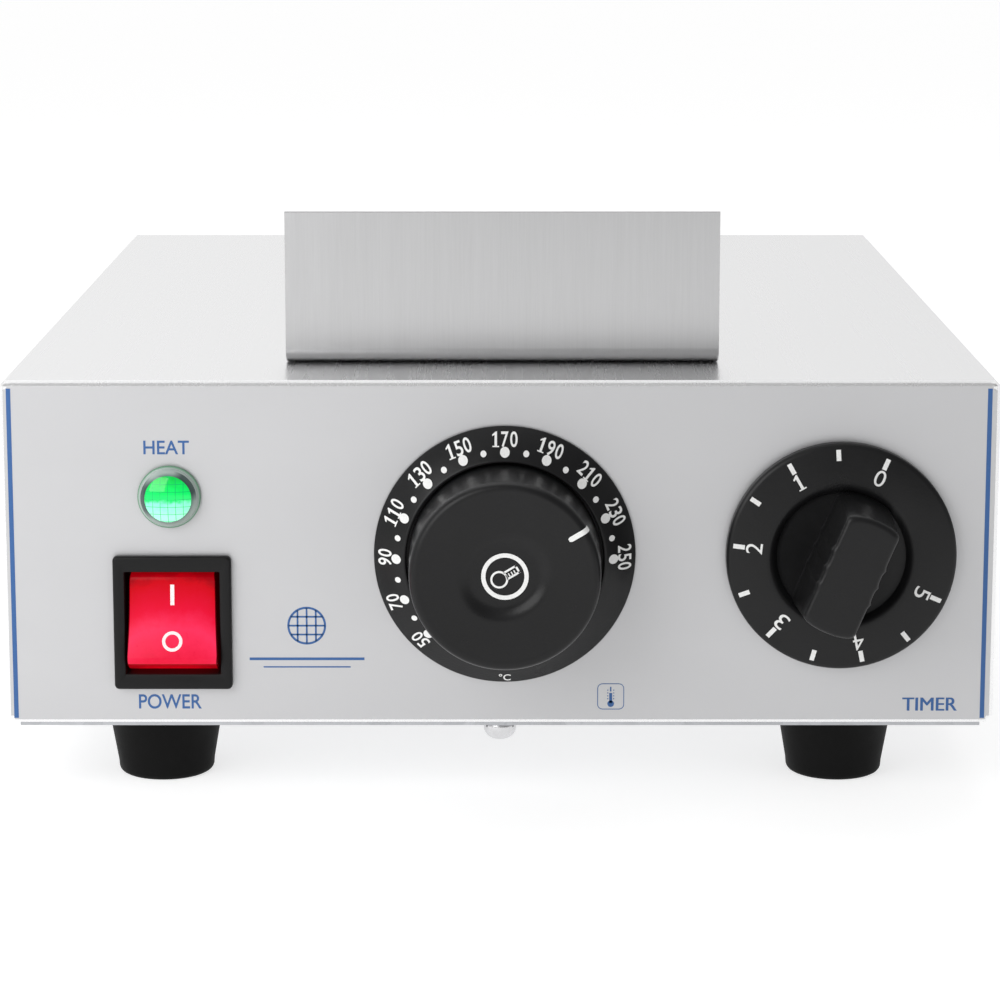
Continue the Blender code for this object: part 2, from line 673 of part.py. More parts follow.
def make_lamp():
    flange, dome = 7.9 * MM, 7.4 * MM
    base, step, top = 0, 1.1 * MM, 5 * MM
    sphere = [
        (dome * math.sin(math.radians(a)), step + (top - step) * math.cos(math.radians(a)))
        for a in (0, 18, 36, 54, 72, 90)
    ]
    socket, socket_depth = 5.3 * MM, 1.7 * MM
    rim = [(flange, step - 0.3 * MM), (flange, base), (socket, base), (socket, socket_depth)]
    lens = [*sphere, *rim, (0, socket_depth)]
    place = (LAMP_X, PANEL_FACE, LAMP_Z)
    turned("lamp_lens", lens, place, GREEN, forward=(0, -1, 0), segments=32)
    body = [
        (0, 1.3 * MM),
        (5.0 * MM, 1.3 * MM),
        (5.0 * MM, -0.4 * MM),
        (5.6 * MM, -0.4 * MM),
        (5.6 * MM, -20 * MM),
        (3.2 * MM, -21 * MM),
        (3.2 * MM, -27 * MM),
        (0, -27 * MM),
    ]
    turned("lamp_body", body, place, BLACK, forward=(0, -1, 0), segments=20)
    nut = [(6.1 * MM, 0), (8.8 * MM, 0), (8.8 * MM, 4 * MM), (6.1 * MM, 4 * MM)]
    turned("lamp_nut", nut, (LAMP_X, INNER_FRONT + GAP, LAMP_Z), WHITE_NYLON, forward=(0, 1, 0), segments=12)


def make_gland():
    """The supply cord's gland, its bore open from end to end."""
    start = REAR_FACE + GAP
    reach = BACK + GLAND_PROUD - start
    profile = [
        (GLAND_BORE_RADIUS, -14 * MM),
        (GLAND_THREAD_RADIUS, -14 * MM),
        (GLAND_THREAD_RADIUS, 0),
        (13 * MM, 0),
        (13 * MM, 5.5 * MM),
        (11.4 * MM, 6 * MM),
        (11.0 * MM, reach - 5 * MM),
        (8.6 * MM, reach - 1.2 * MM),
        (7.4 * MM, reach),
        (GLAND_BORE_RADIUS, reach),
    ]
    turned("gland_body", profile, (GLAND_X, start, GLAND_Z), BLACK, forward=(0, 1, 0), segments=24)
    nut_radius, nut = GLAND_THREAD_RADIUS + GAP, 4.5 * MM
    ring = [(nut_radius, 0), (13 * MM, 0), (13 * MM, nut), (nut_radius, nut)]
    place = (GLAND_X, GLAND_NUT_Y, GLAND_Z)
    turned("gland_nut", ring, place, BLACK, forward=(0, -1, 0), segments=24)


TERMINAL_X, TERMINAL_Y = 28 * MM, BACK - 62 * MM
TERMINAL_SIZE = (48 * MM, 20 * MM, 17 * MM)
TERMINAL_FOOT = BASE_TOP + GAP
POLES = (-15 * MM, 0, 15 * MM)
PLATE_BLOCK_X = 34 * MM
PLATE_BLOCK_SIZE = (34 * MM, 18 * MM, 14 * MM)
PLATE_BLOCK_FOOT = CASE_TOP + GAP
PLATE_POLES = (-9 * MM, 9 * MM)
POLE_RADIUS = 2.4 * MM


def connector(name, place, size, poles, look):
    """A screw terminal block, with a wire hole right through and two screw wells at each pole."""
    x, y, foot = place
    width, depth, height = size
    low = (x - width / 2, y - depth / 2, foot)
    high = (x + width / 2, y + depth / 2, foot + height)
    body = block(name, low, high, look, bevel=1 * MM)
    bores, wells = bmesh.new(), bmesh.new()
    axis_z = foot + height * 0.42
    for pole in poles:
        at = x + pole
        grow_rod(bores, (at, y - depth, axis_z), (at, y + depth, axis_z), POLE_RADIUS, 10)
        for end in (-0.25, 0.25):
            well = y + end * depth
            low, high = (at, well, axis_z + 0.7 * MM), (at, well, foot + height + 5 * MM)
            grow_rod(wells, low, high, 1.7 * MM, 8)
    combine(body, cutter(name + "_bores", bores))
    combine(body, cutter(name + "_wells", wells))


def make_connections():
    place = (TERMINAL_X, TERMINAL_Y, TERMINAL_FOOT)
    connector("terminal_block", place, TERMINAL_SIZE, POLES, WHITE_NYLON)
    place = (PLATE_BLOCK_X, LEAD_Y, PLATE_BLOCK_FOOT)
    connector("plate_terminal_block", place, PLATE_BLOCK_SIZE, PLATE_POLES, CERAMIC)
    screw("earth_screw", (EARTH_X, EARTH_Y, BASE_TOP + GAP), BRASS, forward=(0, 0, 1), shank=5 * MM)
    groove, lip, bore = 7.6 * MM, 10 * MM, 5 * MM
    top, sheet = 2.2 * MM, SHEET + 2 * GAP
    grommet = [
        (bore, top),
        (lip - 0.8 * MM, top),
        (lip, top - 0.8 * MM),
        (lip, 0),
        (groove, 0),
        (groove, -sheet),
        (lip, -sheet),
        (lip, -sheet - top),
        (bore, -sheet - top),
    ]
    turned("lead_grommet", grommet, (0, LEAD_Y, CASE_TOP + GAP), RUBBER, segments=24)


BULB_Y = BRACKET_FRONT + BRACKET_SHEET + 6 * MM
BULB_Z = BRACKET_FOOT + 22 * MM
BULB_RADIUS = 3 * MM
BULB_HALF = 34 * MM
CAPILLARY_RADIUS = 1 * MM
WIRE_RADIUS = 1.2 * MM


def smooth_route(points, spacing):
    """Points a steady distance apart along the Catmull-Rom curve through the given ones."""
    points = [Vector(p) for p in points]
    ends = [2 * points[0] - points[1], *points, 2 * points[-1] - points[-2]]
    dense = []
    for a, b, c, d in zip(ends, ends[1:], ends[2:], ends[3:]):
        steps = max(2, round((c - b).length / spacing))
        for i in range(steps):
            t = i / steps
            swing = 2 * b + (c - a) * t + (2 * a - 5 * b + 4 * c - d) * t**2
            swing += (3 * b - a - 3 * c + d) * t**3
            dense.append(swing / 2)
    return [*dense, points[-1]]


def tube(name, points, radius, look, spacing):
    curve = bpy.data.curves.new(name, "CURVE")
    curve.dimensions = "3D"
    curve.bevel_depth = radius
    curve.bevel_resolution = 2
    curve.use_fill_caps = True
    spline = curve.splines.new("POLY")
    route = smooth_route(points, spacing)
    spline.points.add(len(route) - 1)
    for target, point in zip(spline.points, route):
        target.co = (*point, 1)
    made = bpy.data.objects.new(name, curve)
    made.data.materials.append(look)
    bpy.context.scene.collection.objects.link(made)
    return made


def make_capillary():
    """The thermostat's sensing bulb, clipped behind the bracket, and its tube."""
    bulb = [
        (0, -BULB_HALF),
        (BULB_RADIUS * 0.6, -BULB_HALF),
        (BULB_RADIUS, -BULB_HALF + 3 * MM),
        (BULB_RADIUS, BULB_HALF - 1 * MM),
        (BULB_RADIUS * 0.7, BULB_HALF),
        (0, BULB_HALF),
    ]
    turned("sensor_bulb", bulb, (0, BULB_Y, BULB_Z), COPPER, forward=(1, 0, 0), segments=16)
    wall = BRACKET_FRONT + BRACKET_SHEET + GAP
    inner, outer = BULB_RADIUS + GAP, BULB_RADIUS + GAP + 0.8 * MM
    centre = (BULB_Y, BULB_Z)
    foot = wall + 0.8 * MM
    outline = [
        (wall, BULB_Z + outer),
        *arc(centre, outer, 90, -150, 14),
        (BULB_Y - 3.2 * MM, BULB_Z - 4.3 * MM),
        *arc(centre, inner, -150, 90, 14),
        (foot, BULB_Z + inner),
        (foot, BULB_Z - 9 * MM),
        (wall, BULB_Z - 9 * MM),
    ]
    extruded("bulb_clip", outline, -5 * MM, 5 * MM, SCREW_STEEL)
    back = INNER_FRONT + GAP + 1.2 * MM + THERMOSTAT_SIZE[2] + BOSS_DEPTH
    x, z = THERMOSTAT_X, SHAFT_Z
    turn = 15 * MM
    coil_x, coil_y, coil_z = x + 4 * MM, back + 24 * MM, z + 2 * MM
    coil = []
    for i in range(17):
        angle = math.radians(180 + i * 45)
        rise = i * 1.3 * MM
        coil.append((coil_x + turn * math.cos(angle), coil_y - turn * math.sin(angle), coil_z + rise))
    route = [
        (x - 6 * MM, back + GAP, z),
        (x - 6 * MM, back + 5 * MM, z),
        *coil,
        (coil_x - turn, coil_y - 8 * MM, coil_z + 23 * MM),
        (-3 * MM, LEAD_Y, CASE_TOP - 8 * MM),
        (-3 * MM, LEAD_Y, CASE_TOP + 7 * MM),
        (-12 * MM, LEAD_Y - 5 * MM, CASE_TOP + 16 * MM),
        (-32 * MM, LEAD_Y - 18 * MM, CASE_TOP + 19 * MM),
        (-48 * MM, LEAD_Y - 28 * MM, CASE_TOP + 21 * MM),
        (-50 * MM, BULB_Y + 3 * MM, BULB_Z),
        (-43 * MM, BULB_Y, BULB_Z),
        (-BULB_HALF - GAP, BULB_Y, BULB_Z),
    ]
    tube("capillary_tube", route, CAPILLARY_RADIUS, COPPER, 4 * MM)


def make_wires():
    pole_z = TERMINAL_FOOT + TERMINAL_SIZE[2] * 0.42
    near = TERMINAL_Y - TERMINAL_SIZE[1] / 2 + 4 * MM
    tab_y = TAB_END + WIRE_RADIUS + GAP
    left, right = SWITCH_X - TAB_OFFSET_X, SWITCH_X + TAB_OFFSET_X
    upper, lower = SWITCH_Z + TAB_OFFSET_Z, SWITCH_Z - TAB_OFFSET_Z
    floor = BASE_TOP + 5 * MM
    thermostat_back = INNER_FRONT + GAP + 1.2 * MM + THERMOSTAT_SIZE[2] + GAP
    timer_back = INNER_FRONT + GAP + 1.2 * MM + TIMER_SIZE[2] + GAP
    plate_z = PLATE_BLOCK_FOOT + PLATE_BLOCK_SIZE[2] * 0.42
    plate_near = LEAD_Y - PLATE_BLOCK_SIZE[1] / 2 + 4 * MM
    plate_far = LEAD_Y + PLATE_BLOCK_SIZE[1] / 2 - 4 * MM
    earth_z = BASE_TOP + GAP + WIRE_RADIUS
    wires = {
        "wire_live_to_switch": (
            BROWN_WIRE,
            [
                (TERMINAL_X + POLES[0], near, pole_z),
                (TERMINAL_X + POLES[0], near - 14 * MM, pole_z),
                (-20 * MM, near - 40 * MM, floor),
                (-78 * MM, near - 60 * MM, floor + 2 * MM),
                (left - 8 * MM, tab_y + 40 * MM, floor + 12 * MM),
                (left, tab_y + 14 * MM, upper),
                (left, tab_y, upper),
            ],
        ),
        "wire_neutral_to_switch": (
            BLUE_WIRE,
            [
                (TERMINAL_X + POLES[1], near, pole_z),
                (TERMINAL_X + POLES[1], near - 16 * MM, pole_z),
                (-6 * MM, near - 50 * MM, floor + 4 * MM),
                (-60 * MM, near - 72 * MM, floor + 5 * MM),
                (right + 6 * MM, tab_y + 42 * MM, floor + 14 * MM),
                (right, tab_y + 15 * MM, upper),
                (right, tab_y, upper),
            ],
        ),
        "wire_switch_to_thermostat": (
            BROWN_WIRE,
            [
                (left, tab_y, lower),
                (left, tab_y + 8 * MM, lower),
                (left + 18 * MM, tab_y + 22 * MM, floor + 3 * MM),
                (-38 * MM, tab_y + 18 * MM, floor + 8 * MM),
                (-16 * MM, thermostat_back + 12 * MM, SHAFT_Z - 13 * MM),
                (-15 * MM, thermostat_back + 5 * MM, SHAFT_Z - 12 * MM),
                (-15 * MM, thermostat_back, SHAFT_Z - 12 * MM),
            ],
        ),
        "wire_thermostat_to_timer": (
            BROWN_WIRE,
            [
                (17 * MM, thermostat_back, SHAFT_Z - 12 * MM),
                (17 * MM, thermostat_back + 5 * MM, SHAFT_Z - 12 * MM),
                (20 * MM, thermostat_back + 12 * MM, SHAFT_Z - 13 * MM),
                (44 * MM, thermostat_back + 18 * MM, SHAFT_Z - 18 * MM),
                (68 * MM, timer_back + 14 * MM, SHAFT_Z - 14 * MM),
                (72 * MM, timer_back + 5 * MM, SHAFT_Z - 12 * MM),
                (72 * MM, timer_back, SHAFT_Z - 12 * MM),
            ],
        ),
        "wire_timer_to_plates": (
            BROWN_WIRE,
            [
                (97 * MM, timer_back, SHAFT_Z + 12 * MM),
                (97 * MM, timer_back + 5 * MM, SHAFT_Z + 12 * MM),
                (94 * MM, timer_back + 14 * MM, SHAFT_Z + 14 * MM),
                (62 * MM, LEAD_Y + 2 * MM, CASE_TOP - 20 * MM),
                (20 * MM, LEAD_Y - 3 * MM, CASE_TOP - 18 * MM),
                (2.8 * MM, LEAD_Y - 1.2 * MM, CASE_TOP - 9 * MM),
                (2.9 * MM, LEAD_Y - 1.6 * MM, CASE_TOP + 6 * MM),
                (8 * MM, plate_near - 12 * MM, CASE_TOP + 11 * MM),
                (PLATE_BLOCK_X + PLATE_POLES[0] - 2 * MM, plate_near - 12 * MM, plate_z + 1 * MM),
                (PLATE_BLOCK_X + PLATE_POLES[0], plate_near, plate_z),
            ],
        ),
        "wire_neutral_to_plates": (
            BLUE_WIRE,
            [
                (right, tab_y, lower),
                (right + 1 * MM, tab_y + 8 * MM, lower),
                (-52 * MM, LEAD_Y + 2 * MM, floor + 12 * MM),
                (-24 * MM, LEAD_Y + 24 * MM, SHAFT_Z),
                (-4 * MM, LEAD_Y + 14 * MM, CASE_TOP - 26 * MM),
                (0, LEAD_Y + 5 * MM, CASE_TOP - 12 * MM),
                (0, LEAD_Y + 3.2 * MM, CASE_TOP),
                (0.5 * MM, LEAD_Y + 4.5 * MM, CASE_TOP + 7 * MM),
                (8 * MM, LEAD_Y + 16 * MM, CASE_TOP + 12 * MM),
                (PLATE_BLOCK_X + PLATE_POLES[1] - 3 * MM, plate_far + 15 * MM, plate_z + 1 * MM),
                (PLATE_BLOCK_X + PLATE_POLES[1], plate_far + 6 * MM, plate_z),
                (PLATE_BLOCK_X + PLATE_POLES[1], plate_far, plate_z),
            ],
        ),
        "wire_earth": (
            GREEN_WIRE,
            [
                (TERMINAL_X + POLES[2], near, pole_z),
                (TERMINAL_X + POLES[2], near - 12 * MM, pole_z),
                (60 * MM, near - 22 * MM, floor),
                (82 * MM, EARTH_Y - 6 * MM, earth_z + 2 * MM),
                (EARTH_X - 8 * MM, EARTH_Y - 1 * MM, earth_z),
                (EARTH_X - 5 * MM, EARTH_Y, earth_z),
            ],
        ),
    }
    for name, (look, route) in wires.items():
        tube(name, route, WIRE_RADIUS, look, 5 * MM)


def main():
    for old in list(bpy.data.objects):
        bpy.data.objects.remove(old)
    make_case()
    make_covers()
    make_feet()
    make_film()
    make_bracket()
    make_thermostat()
    make_timer()
    make_switch()
    make_lamp()
    make_gland()
    make_connections()
    make_capillary()
    make_wires()


main()
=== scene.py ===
"""Looks for the waffle iron control base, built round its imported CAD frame.

Metres, +Z up, the front faces -Y. "Clockwise" is as seen from the front. Profiles are measured from
a piece's own axis and foot; places on the front are the frame's own x and z.
"""

import json
import math

import bmesh
import bpy
from mathutils import Matrix, Vector


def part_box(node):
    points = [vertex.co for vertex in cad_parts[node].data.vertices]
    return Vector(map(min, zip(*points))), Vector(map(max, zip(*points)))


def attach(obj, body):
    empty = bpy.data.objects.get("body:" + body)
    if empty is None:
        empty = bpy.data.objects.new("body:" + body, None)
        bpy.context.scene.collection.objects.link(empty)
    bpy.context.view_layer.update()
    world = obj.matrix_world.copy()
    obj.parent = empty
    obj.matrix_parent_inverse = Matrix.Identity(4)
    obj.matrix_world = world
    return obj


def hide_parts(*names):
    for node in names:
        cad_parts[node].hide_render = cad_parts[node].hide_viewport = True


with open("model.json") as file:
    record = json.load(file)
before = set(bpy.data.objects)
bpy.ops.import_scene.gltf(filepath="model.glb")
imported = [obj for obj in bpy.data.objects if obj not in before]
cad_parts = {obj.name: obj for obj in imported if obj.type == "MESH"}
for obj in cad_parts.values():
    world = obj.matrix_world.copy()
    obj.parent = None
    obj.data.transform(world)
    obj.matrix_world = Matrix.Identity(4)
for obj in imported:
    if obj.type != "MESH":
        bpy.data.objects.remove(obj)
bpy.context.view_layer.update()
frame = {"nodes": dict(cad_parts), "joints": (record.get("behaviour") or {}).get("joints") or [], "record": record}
MM = 0.001
INK = 0.04 * MM  # thickness of a print
BASE, THERMOSTAT, TIMER, ROCKER = "base", "thermostat_control", "timer_control", "switch_rocker_body"


# ---- where things are

def centre(node):
    low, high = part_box(node)
    return (low + high) / 2


FILM_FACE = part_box("front_label")[0].y
CASE_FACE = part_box("housing_shell")[0].y
DIAL_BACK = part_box("thermostat_dial")[1].y
DIAL = centre("thermostat_dial")
LAMP = centre("lamp_lens")
KNOB_LOW, KNOB_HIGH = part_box("thermostat_knob")
KNOB_CENTRE = centre("thermostat_knob")
KNOB_RADIUS = (KNOB_HIGH.x - KNOB_LOW.x) / 2
KNOB_HEIGHT = KNOB_HIGH.y - KNOB_LOW.y
TIMER_LOW, TIMER_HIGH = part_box("timer_knob")
TIMER_CENTRE = centre("timer_knob")
PIVOT = Vector(next(joint["pos_m"] for joint in frame["joints"] if joint["name"] == "rocker_rock"))


# ---- node materials

class Nodes:
    """Short calls for the nodes of a material or a world."""

    def __init__(self, made):
        made.use_nodes = True
        self.tree = made.node_tree

    def node(self, kind, **settings):
        made = self.tree.nodes.new(kind)
        for key, value in settings.items():
            setattr(made, key, value)
        return made

    def link(self, source, target):
        self.tree.links.new(source, target)

    def axes(self, vector):
        """The X, Y and Z parts of a vector."""
        made = self.node("ShaderNodeSeparateXYZ")
        self.link(vector, made.inputs["Vector"])
        return made.outputs

    def span(self, value, low, high, start=0.0, end=1.0):
        """Maps value from start..end to low..high."""
        made = self.node("ShaderNodeMapRange")
        for socket, number in (("From Min", start), ("From Max", end), ("To Min", low), ("To Max", high)):
            made.inputs[socket].default_value = number
        self.link(value, made.inputs["Value"])
        return made.outputs["Result"]

    def math(self, operation, one, other=0.0):
        made = self.node("ShaderNodeMath", operation=operation)
        for socket, value in zip(made.inputs, (one, other)):
            if isinstance(value, (int, float)):
                socket.default_value = value
            else:
                self.link(value, socket)
        return made.outputs["Value"]


class Look(Nodes):
    """A Principled material."""

    def __init__(self, name, colour, roughness, metallic=0.0, **sockets):
        self.name = name
        self.made = bpy.data.materials.new(name)
        super().__init__(self.made)
        self.shader = self.tree.nodes["Principled BSDF"]
        self.shader.inputs["Base Color"].default_value = (*colour, 1)
        self.shader.inputs["Roughness"].default_value = roughness
        self.shader.inputs["Metallic"].default_value = metallic
        for socket, value in sockets.items():
            self.shader.inputs[socket.replace("_", " ")].default_value = value
        self.height = None

    def place(self, scale=(1, 1, 1), shift=(0, 0, 0)):
        """Object coordinates, stretched or shifted."""
        mapping = self.node("ShaderNodeMapping")
        mapping.inputs["Scale"].default_value = scale
        mapping.inputs["Location"].default_value = shift
        self.link(self.node("ShaderNodeTexCoord").outputs["Object"], mapping.inputs["Vector"])
        return mapping.outputs["Vector"]

    def noise(self, vector, detail=2.0, roughness=0.5):
        made = self.node("ShaderNodeTexNoise")
        made.inputs["Scale"].default_value = 1.0
        made.inputs["Detail"].default_value = detail
        made.inputs["Roughness"].default_value = roughness
        self.link(vector, made.inputs["Vector"])
        return made.outputs["Fac"]

    def ramp(self, value, stops):
        """A colour ramp: stops are (position, colour)."""
        made = self.node("ShaderNodeValToRGB")
        elements = made.color_ramp.elements
        while len(elements) < len(stops):
            elements.new(1.0)
        for element, (position, colour) in zip(elements, stops):
            element.position = position
            element.color = (*colour, 1)
        self.link(value, made.inputs["Fac"])
        return made.outputs["Color"]

    def mix(self, factor, one, other):
        """Mixes two colours, each an output or an RGB triple."""
        made = self.node("ShaderNodeMix", data_type="RGBA")
        self.link(factor, made.inputs["Factor"])
        for socket, value in ((made.inputs["A"], one), (made.inputs["B"], other)):
            if isinstance(value, tuple):
                socket.default_value = (*value, 1)
            else:
                self.link(value, socket)
        return made.outputs["Result"]

    def offset(self, base, texture, amount):
        """Moves base up or down by up to half of amount with a texture."""
        return self.math("ADD", base, self.math("MULTIPLY", self.math("SUBTRACT", texture, 0.5), amount))

    def colour(self, output):
        self.link(output, self.shader.inputs["Base Color"])
        return self

    def glow(self, output, strength):
        self.link(output, self.shader.inputs["Emission Color"])
        self.shader.inputs["Emission Strength"].default_value = strength

    def rough(self, value, low, high, start=0.3, end=0.7):
        self.link(self.span(value, low, high, start, end), self.shader.inputs["Roughness"])
        return self

    def bump(self, height, distance, strength=1.0):
        """Adds a bump on top of those already there."""
        made = self.node("ShaderNodeBump")
        made.inputs["Distance"].default_value = distance
        made.inputs["Strength"].default_value = strength
        self.link(height, made.inputs["Height"])
        if self.height is not None:
            self.link(self.height, made.inputs["Normal"])
        self.height = made.outputs["Normal"]
        self.link(self.height, self.shader.inputs["Normal"])
        return self


def shade(colour, factor):
    return tuple(channel * factor for channel in colour)


def varied(look, value, colour, swing, start=0.3, end=0.7):
    """Lets the base colour swing either side of colour with a texture."""
    stops = [(start, shade(colour, 1 - swing)), (end, shade(colour, 1 + swing))]
    return look.colour(look.ramp(value, stops))


def brushed(name, colour, roughness, grain, swing=0.05, depth=0.01, spread=0.07):
    """Sheet metal with a brushed grain. grain is how many streaks a metre has along X, Y and Z."""
    look = Look(name, colour, roughness, 1.0)
    fine = look.noise(look.place(grain), detail=4.0, roughness=0.7)
    broad = look.noise(look.place(shade(grain, 0.12)), detail=2.0)
    both = look.math("ADD", look.math("MULTIPLY", fine, 0.7), look.math("MULTIPLY", broad, 0.3))
    varied(look, both, colour, swing)
    look.rough(both, roughness - spread, roughness + spread)
    look.bump(fine, depth * MM)
    cloud = look.noise(look.place((14, 14, 14)), detail=1.0)
    return look.bump(cloud, 0.05 * MM, 0.12)


def moulded(name, colour, roughness, grain=2600, depth=0.02, swing=0.18, **sockets):
    """Moulded plastic or rubber: a fine spark-eroded grain and slight clouding."""
    look = Look(name, colour, roughness, **sockets)
    fine = look.noise(look.place((grain, grain, grain)), detail=2.0, roughness=0.6)
    cloud = look.noise(look.place((70, 70, 70)), detail=4.0, roughness=0.6)
    varied(look, cloud, colour, swing)
    look.rough(cloud, roughness - 0.07, roughness + 0.08)
    return look.bump(fine, depth * MM)


def plated(name, colour, roughness, swing=0.06):
    """Turned or drawn metal with handling marks."""
    look = Look(name, colour, roughness, 1.0)
    marks = look.noise(look.place((420, 420, 420)), detail=5.0, roughness=0.65)
    varied(look, marks, colour, swing)
    look.rough(marks, roughness - 0.06, roughness + 0.12)
    return look.bump(marks, 0.01 * MM)


def galvanised():
    colour = (0.5, 0.51, 0.53)
    look = Look("galvanised_sheet", colour, 0.42, 1.0)
    spangle = look.node("ShaderNodeTexVoronoi", feature="F1")
    spangle.inputs["Scale"].default_value = 160
    look.link(look.place(), spangle.inputs["Vector"])
    level = look.node("ShaderNodeSeparateColor")
    look.link(spangle.outputs["Color"], level.inputs["Color"])
    varied(look, level.outputs["Red"], colour, 0.07, 0.0, 1.0)
    look.rough(level.outputs["Green"], 0.38, 0.46, 0.0, 1.0)
    fine = look.noise(look.place((900, 900, 900)), detail=3.0)
    return look.bump(fine, 0.01 * MM)


def film():
    """The printed front: satin silver film with a faint orange peel."""
    colour = (0.57, 0.57, 0.58)
    look = Look("grey_film", colour, 0.36, 0.4)
    cloud = look.noise(look.place((9, 9, 22)), detail=3.0)
    grain = look.noise(look.place((1800, 1800, 1800)), detail=2.0)
    varied(look, cloud, colour, 0.025)
    look.rough(grain, 0.31, 0.42)
    peel = look.noise(look.place((240, 240, 240)), detail=1.0)
    look.bump(peel, 0.012 * MM)
    return look.bump(grain, 0.004 * MM)


def ink(name, colour, roughness=0.45):
    look = Look(name, colour, roughness)
    grain = look.noise(look.place((2200, 2200, 2200)), detail=2.0)
    varied(look, grain, colour, 0.05)
    return look.bump(grain, 0.005 * MM)


ROCKER_SHADE_EDGE = -9.9 * MM  # below this is the lower lip, whose glow is darkened to the deepest red as painted shade


def rocker_red():
    """Translucent red, lit from inside: pink over the lamp, deep red at the top, and painted shade on the lower
    lip, whose glow is pushed to the darkest red.
    """
    look = Look("red_lens", (0.14, 0.0, 0.002), 0.3, Specular_IOR_Level=0.09)
    x, _, z = look.axes(look.place(shift=tuple(-PIVOT)))
    across = look.math("ABSOLUTE", look.math("MULTIPLY", x, 1 / (11.5 * MM)))
    up = look.math("MULTIPLY", look.math("ADD", z, 9.7 * MM), 1 / (22 * MM))
    mottle = look.noise(look.place((330, 330, 330)), detail=4.0, roughness=0.65)
    glow = look.math("ADD", up, look.math("MULTIPLY", look.math("POWER", across, 4), 0.16))
    glow = look.offset(glow, mottle, 0.22)
    # Painted shade: below the edge the lower lip's glow jumps to the ramp's darkest red.
    glow = look.math("ADD", glow, look.math("LESS_THAN", z, ROCKER_SHADE_EDGE))
    colours = [
        (0.0, (0.78, 0.01, 0.05)),
        (0.38, (0.92, 0.036, 0.118)),
        (0.6, (0.74, 0.006, 0.04)),
        (0.9, (0.54, 0.0, 0.006)),
        (1.0, (0.26, 0.0, 0.003)),
    ]
    sideways = look.axes(look.node("ShaderNodeNewGeometry").outputs["Normal"])[0]
    flank = look.math("GREATER_THAN", look.math("ABSOLUTE", sideways), 0.5)
    lit = look.mix(flank, look.ramp(glow, colours), (0.012, 0.0, 0.0))
    look.glow(lit, 0.97)
    look.colour(look.ramp(mottle, [(0.3, (0.12, 0.0, 0.002)), (0.7, (0.17, 0.0, 0.003))]))
    look.rough(mottle, 0.26, 0.36)
    return look.bump(mottle, 0.02 * MM)


LAMP_WINDOW = 5.85 * MM  # radius of the lit part
LAMP_RIM = (5.2 * MM, 7.9 * MM)  # radii that the rim's colours run between
LAMP_REFLECTION_REACH = 7.0 * MM  # how far out the painted dark reflections reach
FACET = 1.9 * MM  # pitch of the grid


def lamp_green():
    """A lit green window behind a grid of facets, inside a clear rim with two painted dark reflections."""
    sockets = {"Coat_Weight": 0.25, "Coat_Roughness": 0.02, "Specular_IOR_Level": 0.35}
    look = Look("green_lens", (0.02, 0.45, 0.12), 0.1, **sockets)
    x, _, z = look.axes(look.place(shift=tuple(-LAMP)))
    squares = look.math("ADD", look.math("MULTIPLY", x, x), look.math("MULTIPLY", z, z))
    radius = look.math("SQRT", squares)
    mottle = look.noise(look.place((700, 700, 700)), detail=3.0)
    height = look.math("ADD", look.math("MULTIPLY", z, 1 / (14 * MM)), 0.5)
    glow = [
        (0.18, (0.28, 0.8, 0.5)),
        (0.42, (0.16, 0.78, 0.42)),
        (0.5, (0.0, 0.6, 0.11)),
        (0.72, (0.0, 0.5, 0.07)),
        (0.9, (0.0, 0.36, 0.04)),
    ]
    core = look.ramp(look.offset(height, mottle, 0.22), glow)
    facets = []
    for axis in (x, z):
        steps = look.math("FRACT", look.math("MULTIPLY", axis, 1 / FACET))
        facets.append(look.span(look.math("GREATER_THAN", steps, 0.09), 0.25, 1.0))
    window = look.mix(look.math("MULTIPLY", *facets), (0.0, 0.3, 0.08), core)
    clear = [
        (0.0, (0.02, 0.16, 0.08)),
        (0.25, (0.12, 0.2, 0.18)),
        (0.5, (0.36, 0.43, 0.4)),
        (0.8, (0.4, 0.48, 0.44)),
        (1.0, (0.07, 0.24, 0.12)),
    ]
    rim = look.ramp(look.span(radius, 0, 1, *LAMP_RIM), clear)
    # Painted reflection: two dark patches on the clear rim, at the left and at the upper right.
    left = look.span(look.math("DIVIDE", x, radius), 1, 0, -0.9, -0.6)
    slant = look.math("ADD", look.math("MULTIPLY", x, 0.8), look.math("MULTIPLY", z, 0.6))
    right = look.span(look.math("DIVIDE", slant, radius), 0, 1, 0.75, 0.93)
    band = look.math("LESS_THAN", radius, LAMP_REFLECTION_REACH)
    dark_reflections = look.math("MULTIPLY", look.math("MAXIMUM", left, right), band)
    rim = look.mix(look.math("MULTIPLY", dark_reflections, 0.85), rim, (0.02, 0.045, 0.045))
    inside = look.math("LESS_THAN", radius, LAMP_WINDOW)
    look.colour(look.mix(inside, rim, window))
    look.glow(look.mix(inside, (0, 0, 0), window), 0.75)
    return look


def earth_sleeve():
    look = Look("green_insulation", (0.1, 0.35, 0.03), 0.45)
    bands = look.node("ShaderNodeTexWave", wave_type="BANDS", bands_direction="DIAGONAL")
    bands.inputs["Scale"].default_value = 90
    look.link(look.place(), bands.inputs["Vector"])
    look.colour(look.ramp(bands.outputs["Fac"], [(0.48, (0.06, 0.3, 0.03)), (0.52, (0.75, 0.6, 0.02))]))
    return look.bump(look.noise(look.place((900, 900, 900))), 0.01 * MM)


def insulation(name, colour):
    return moulded(name, colour, 0.42, grain=900)


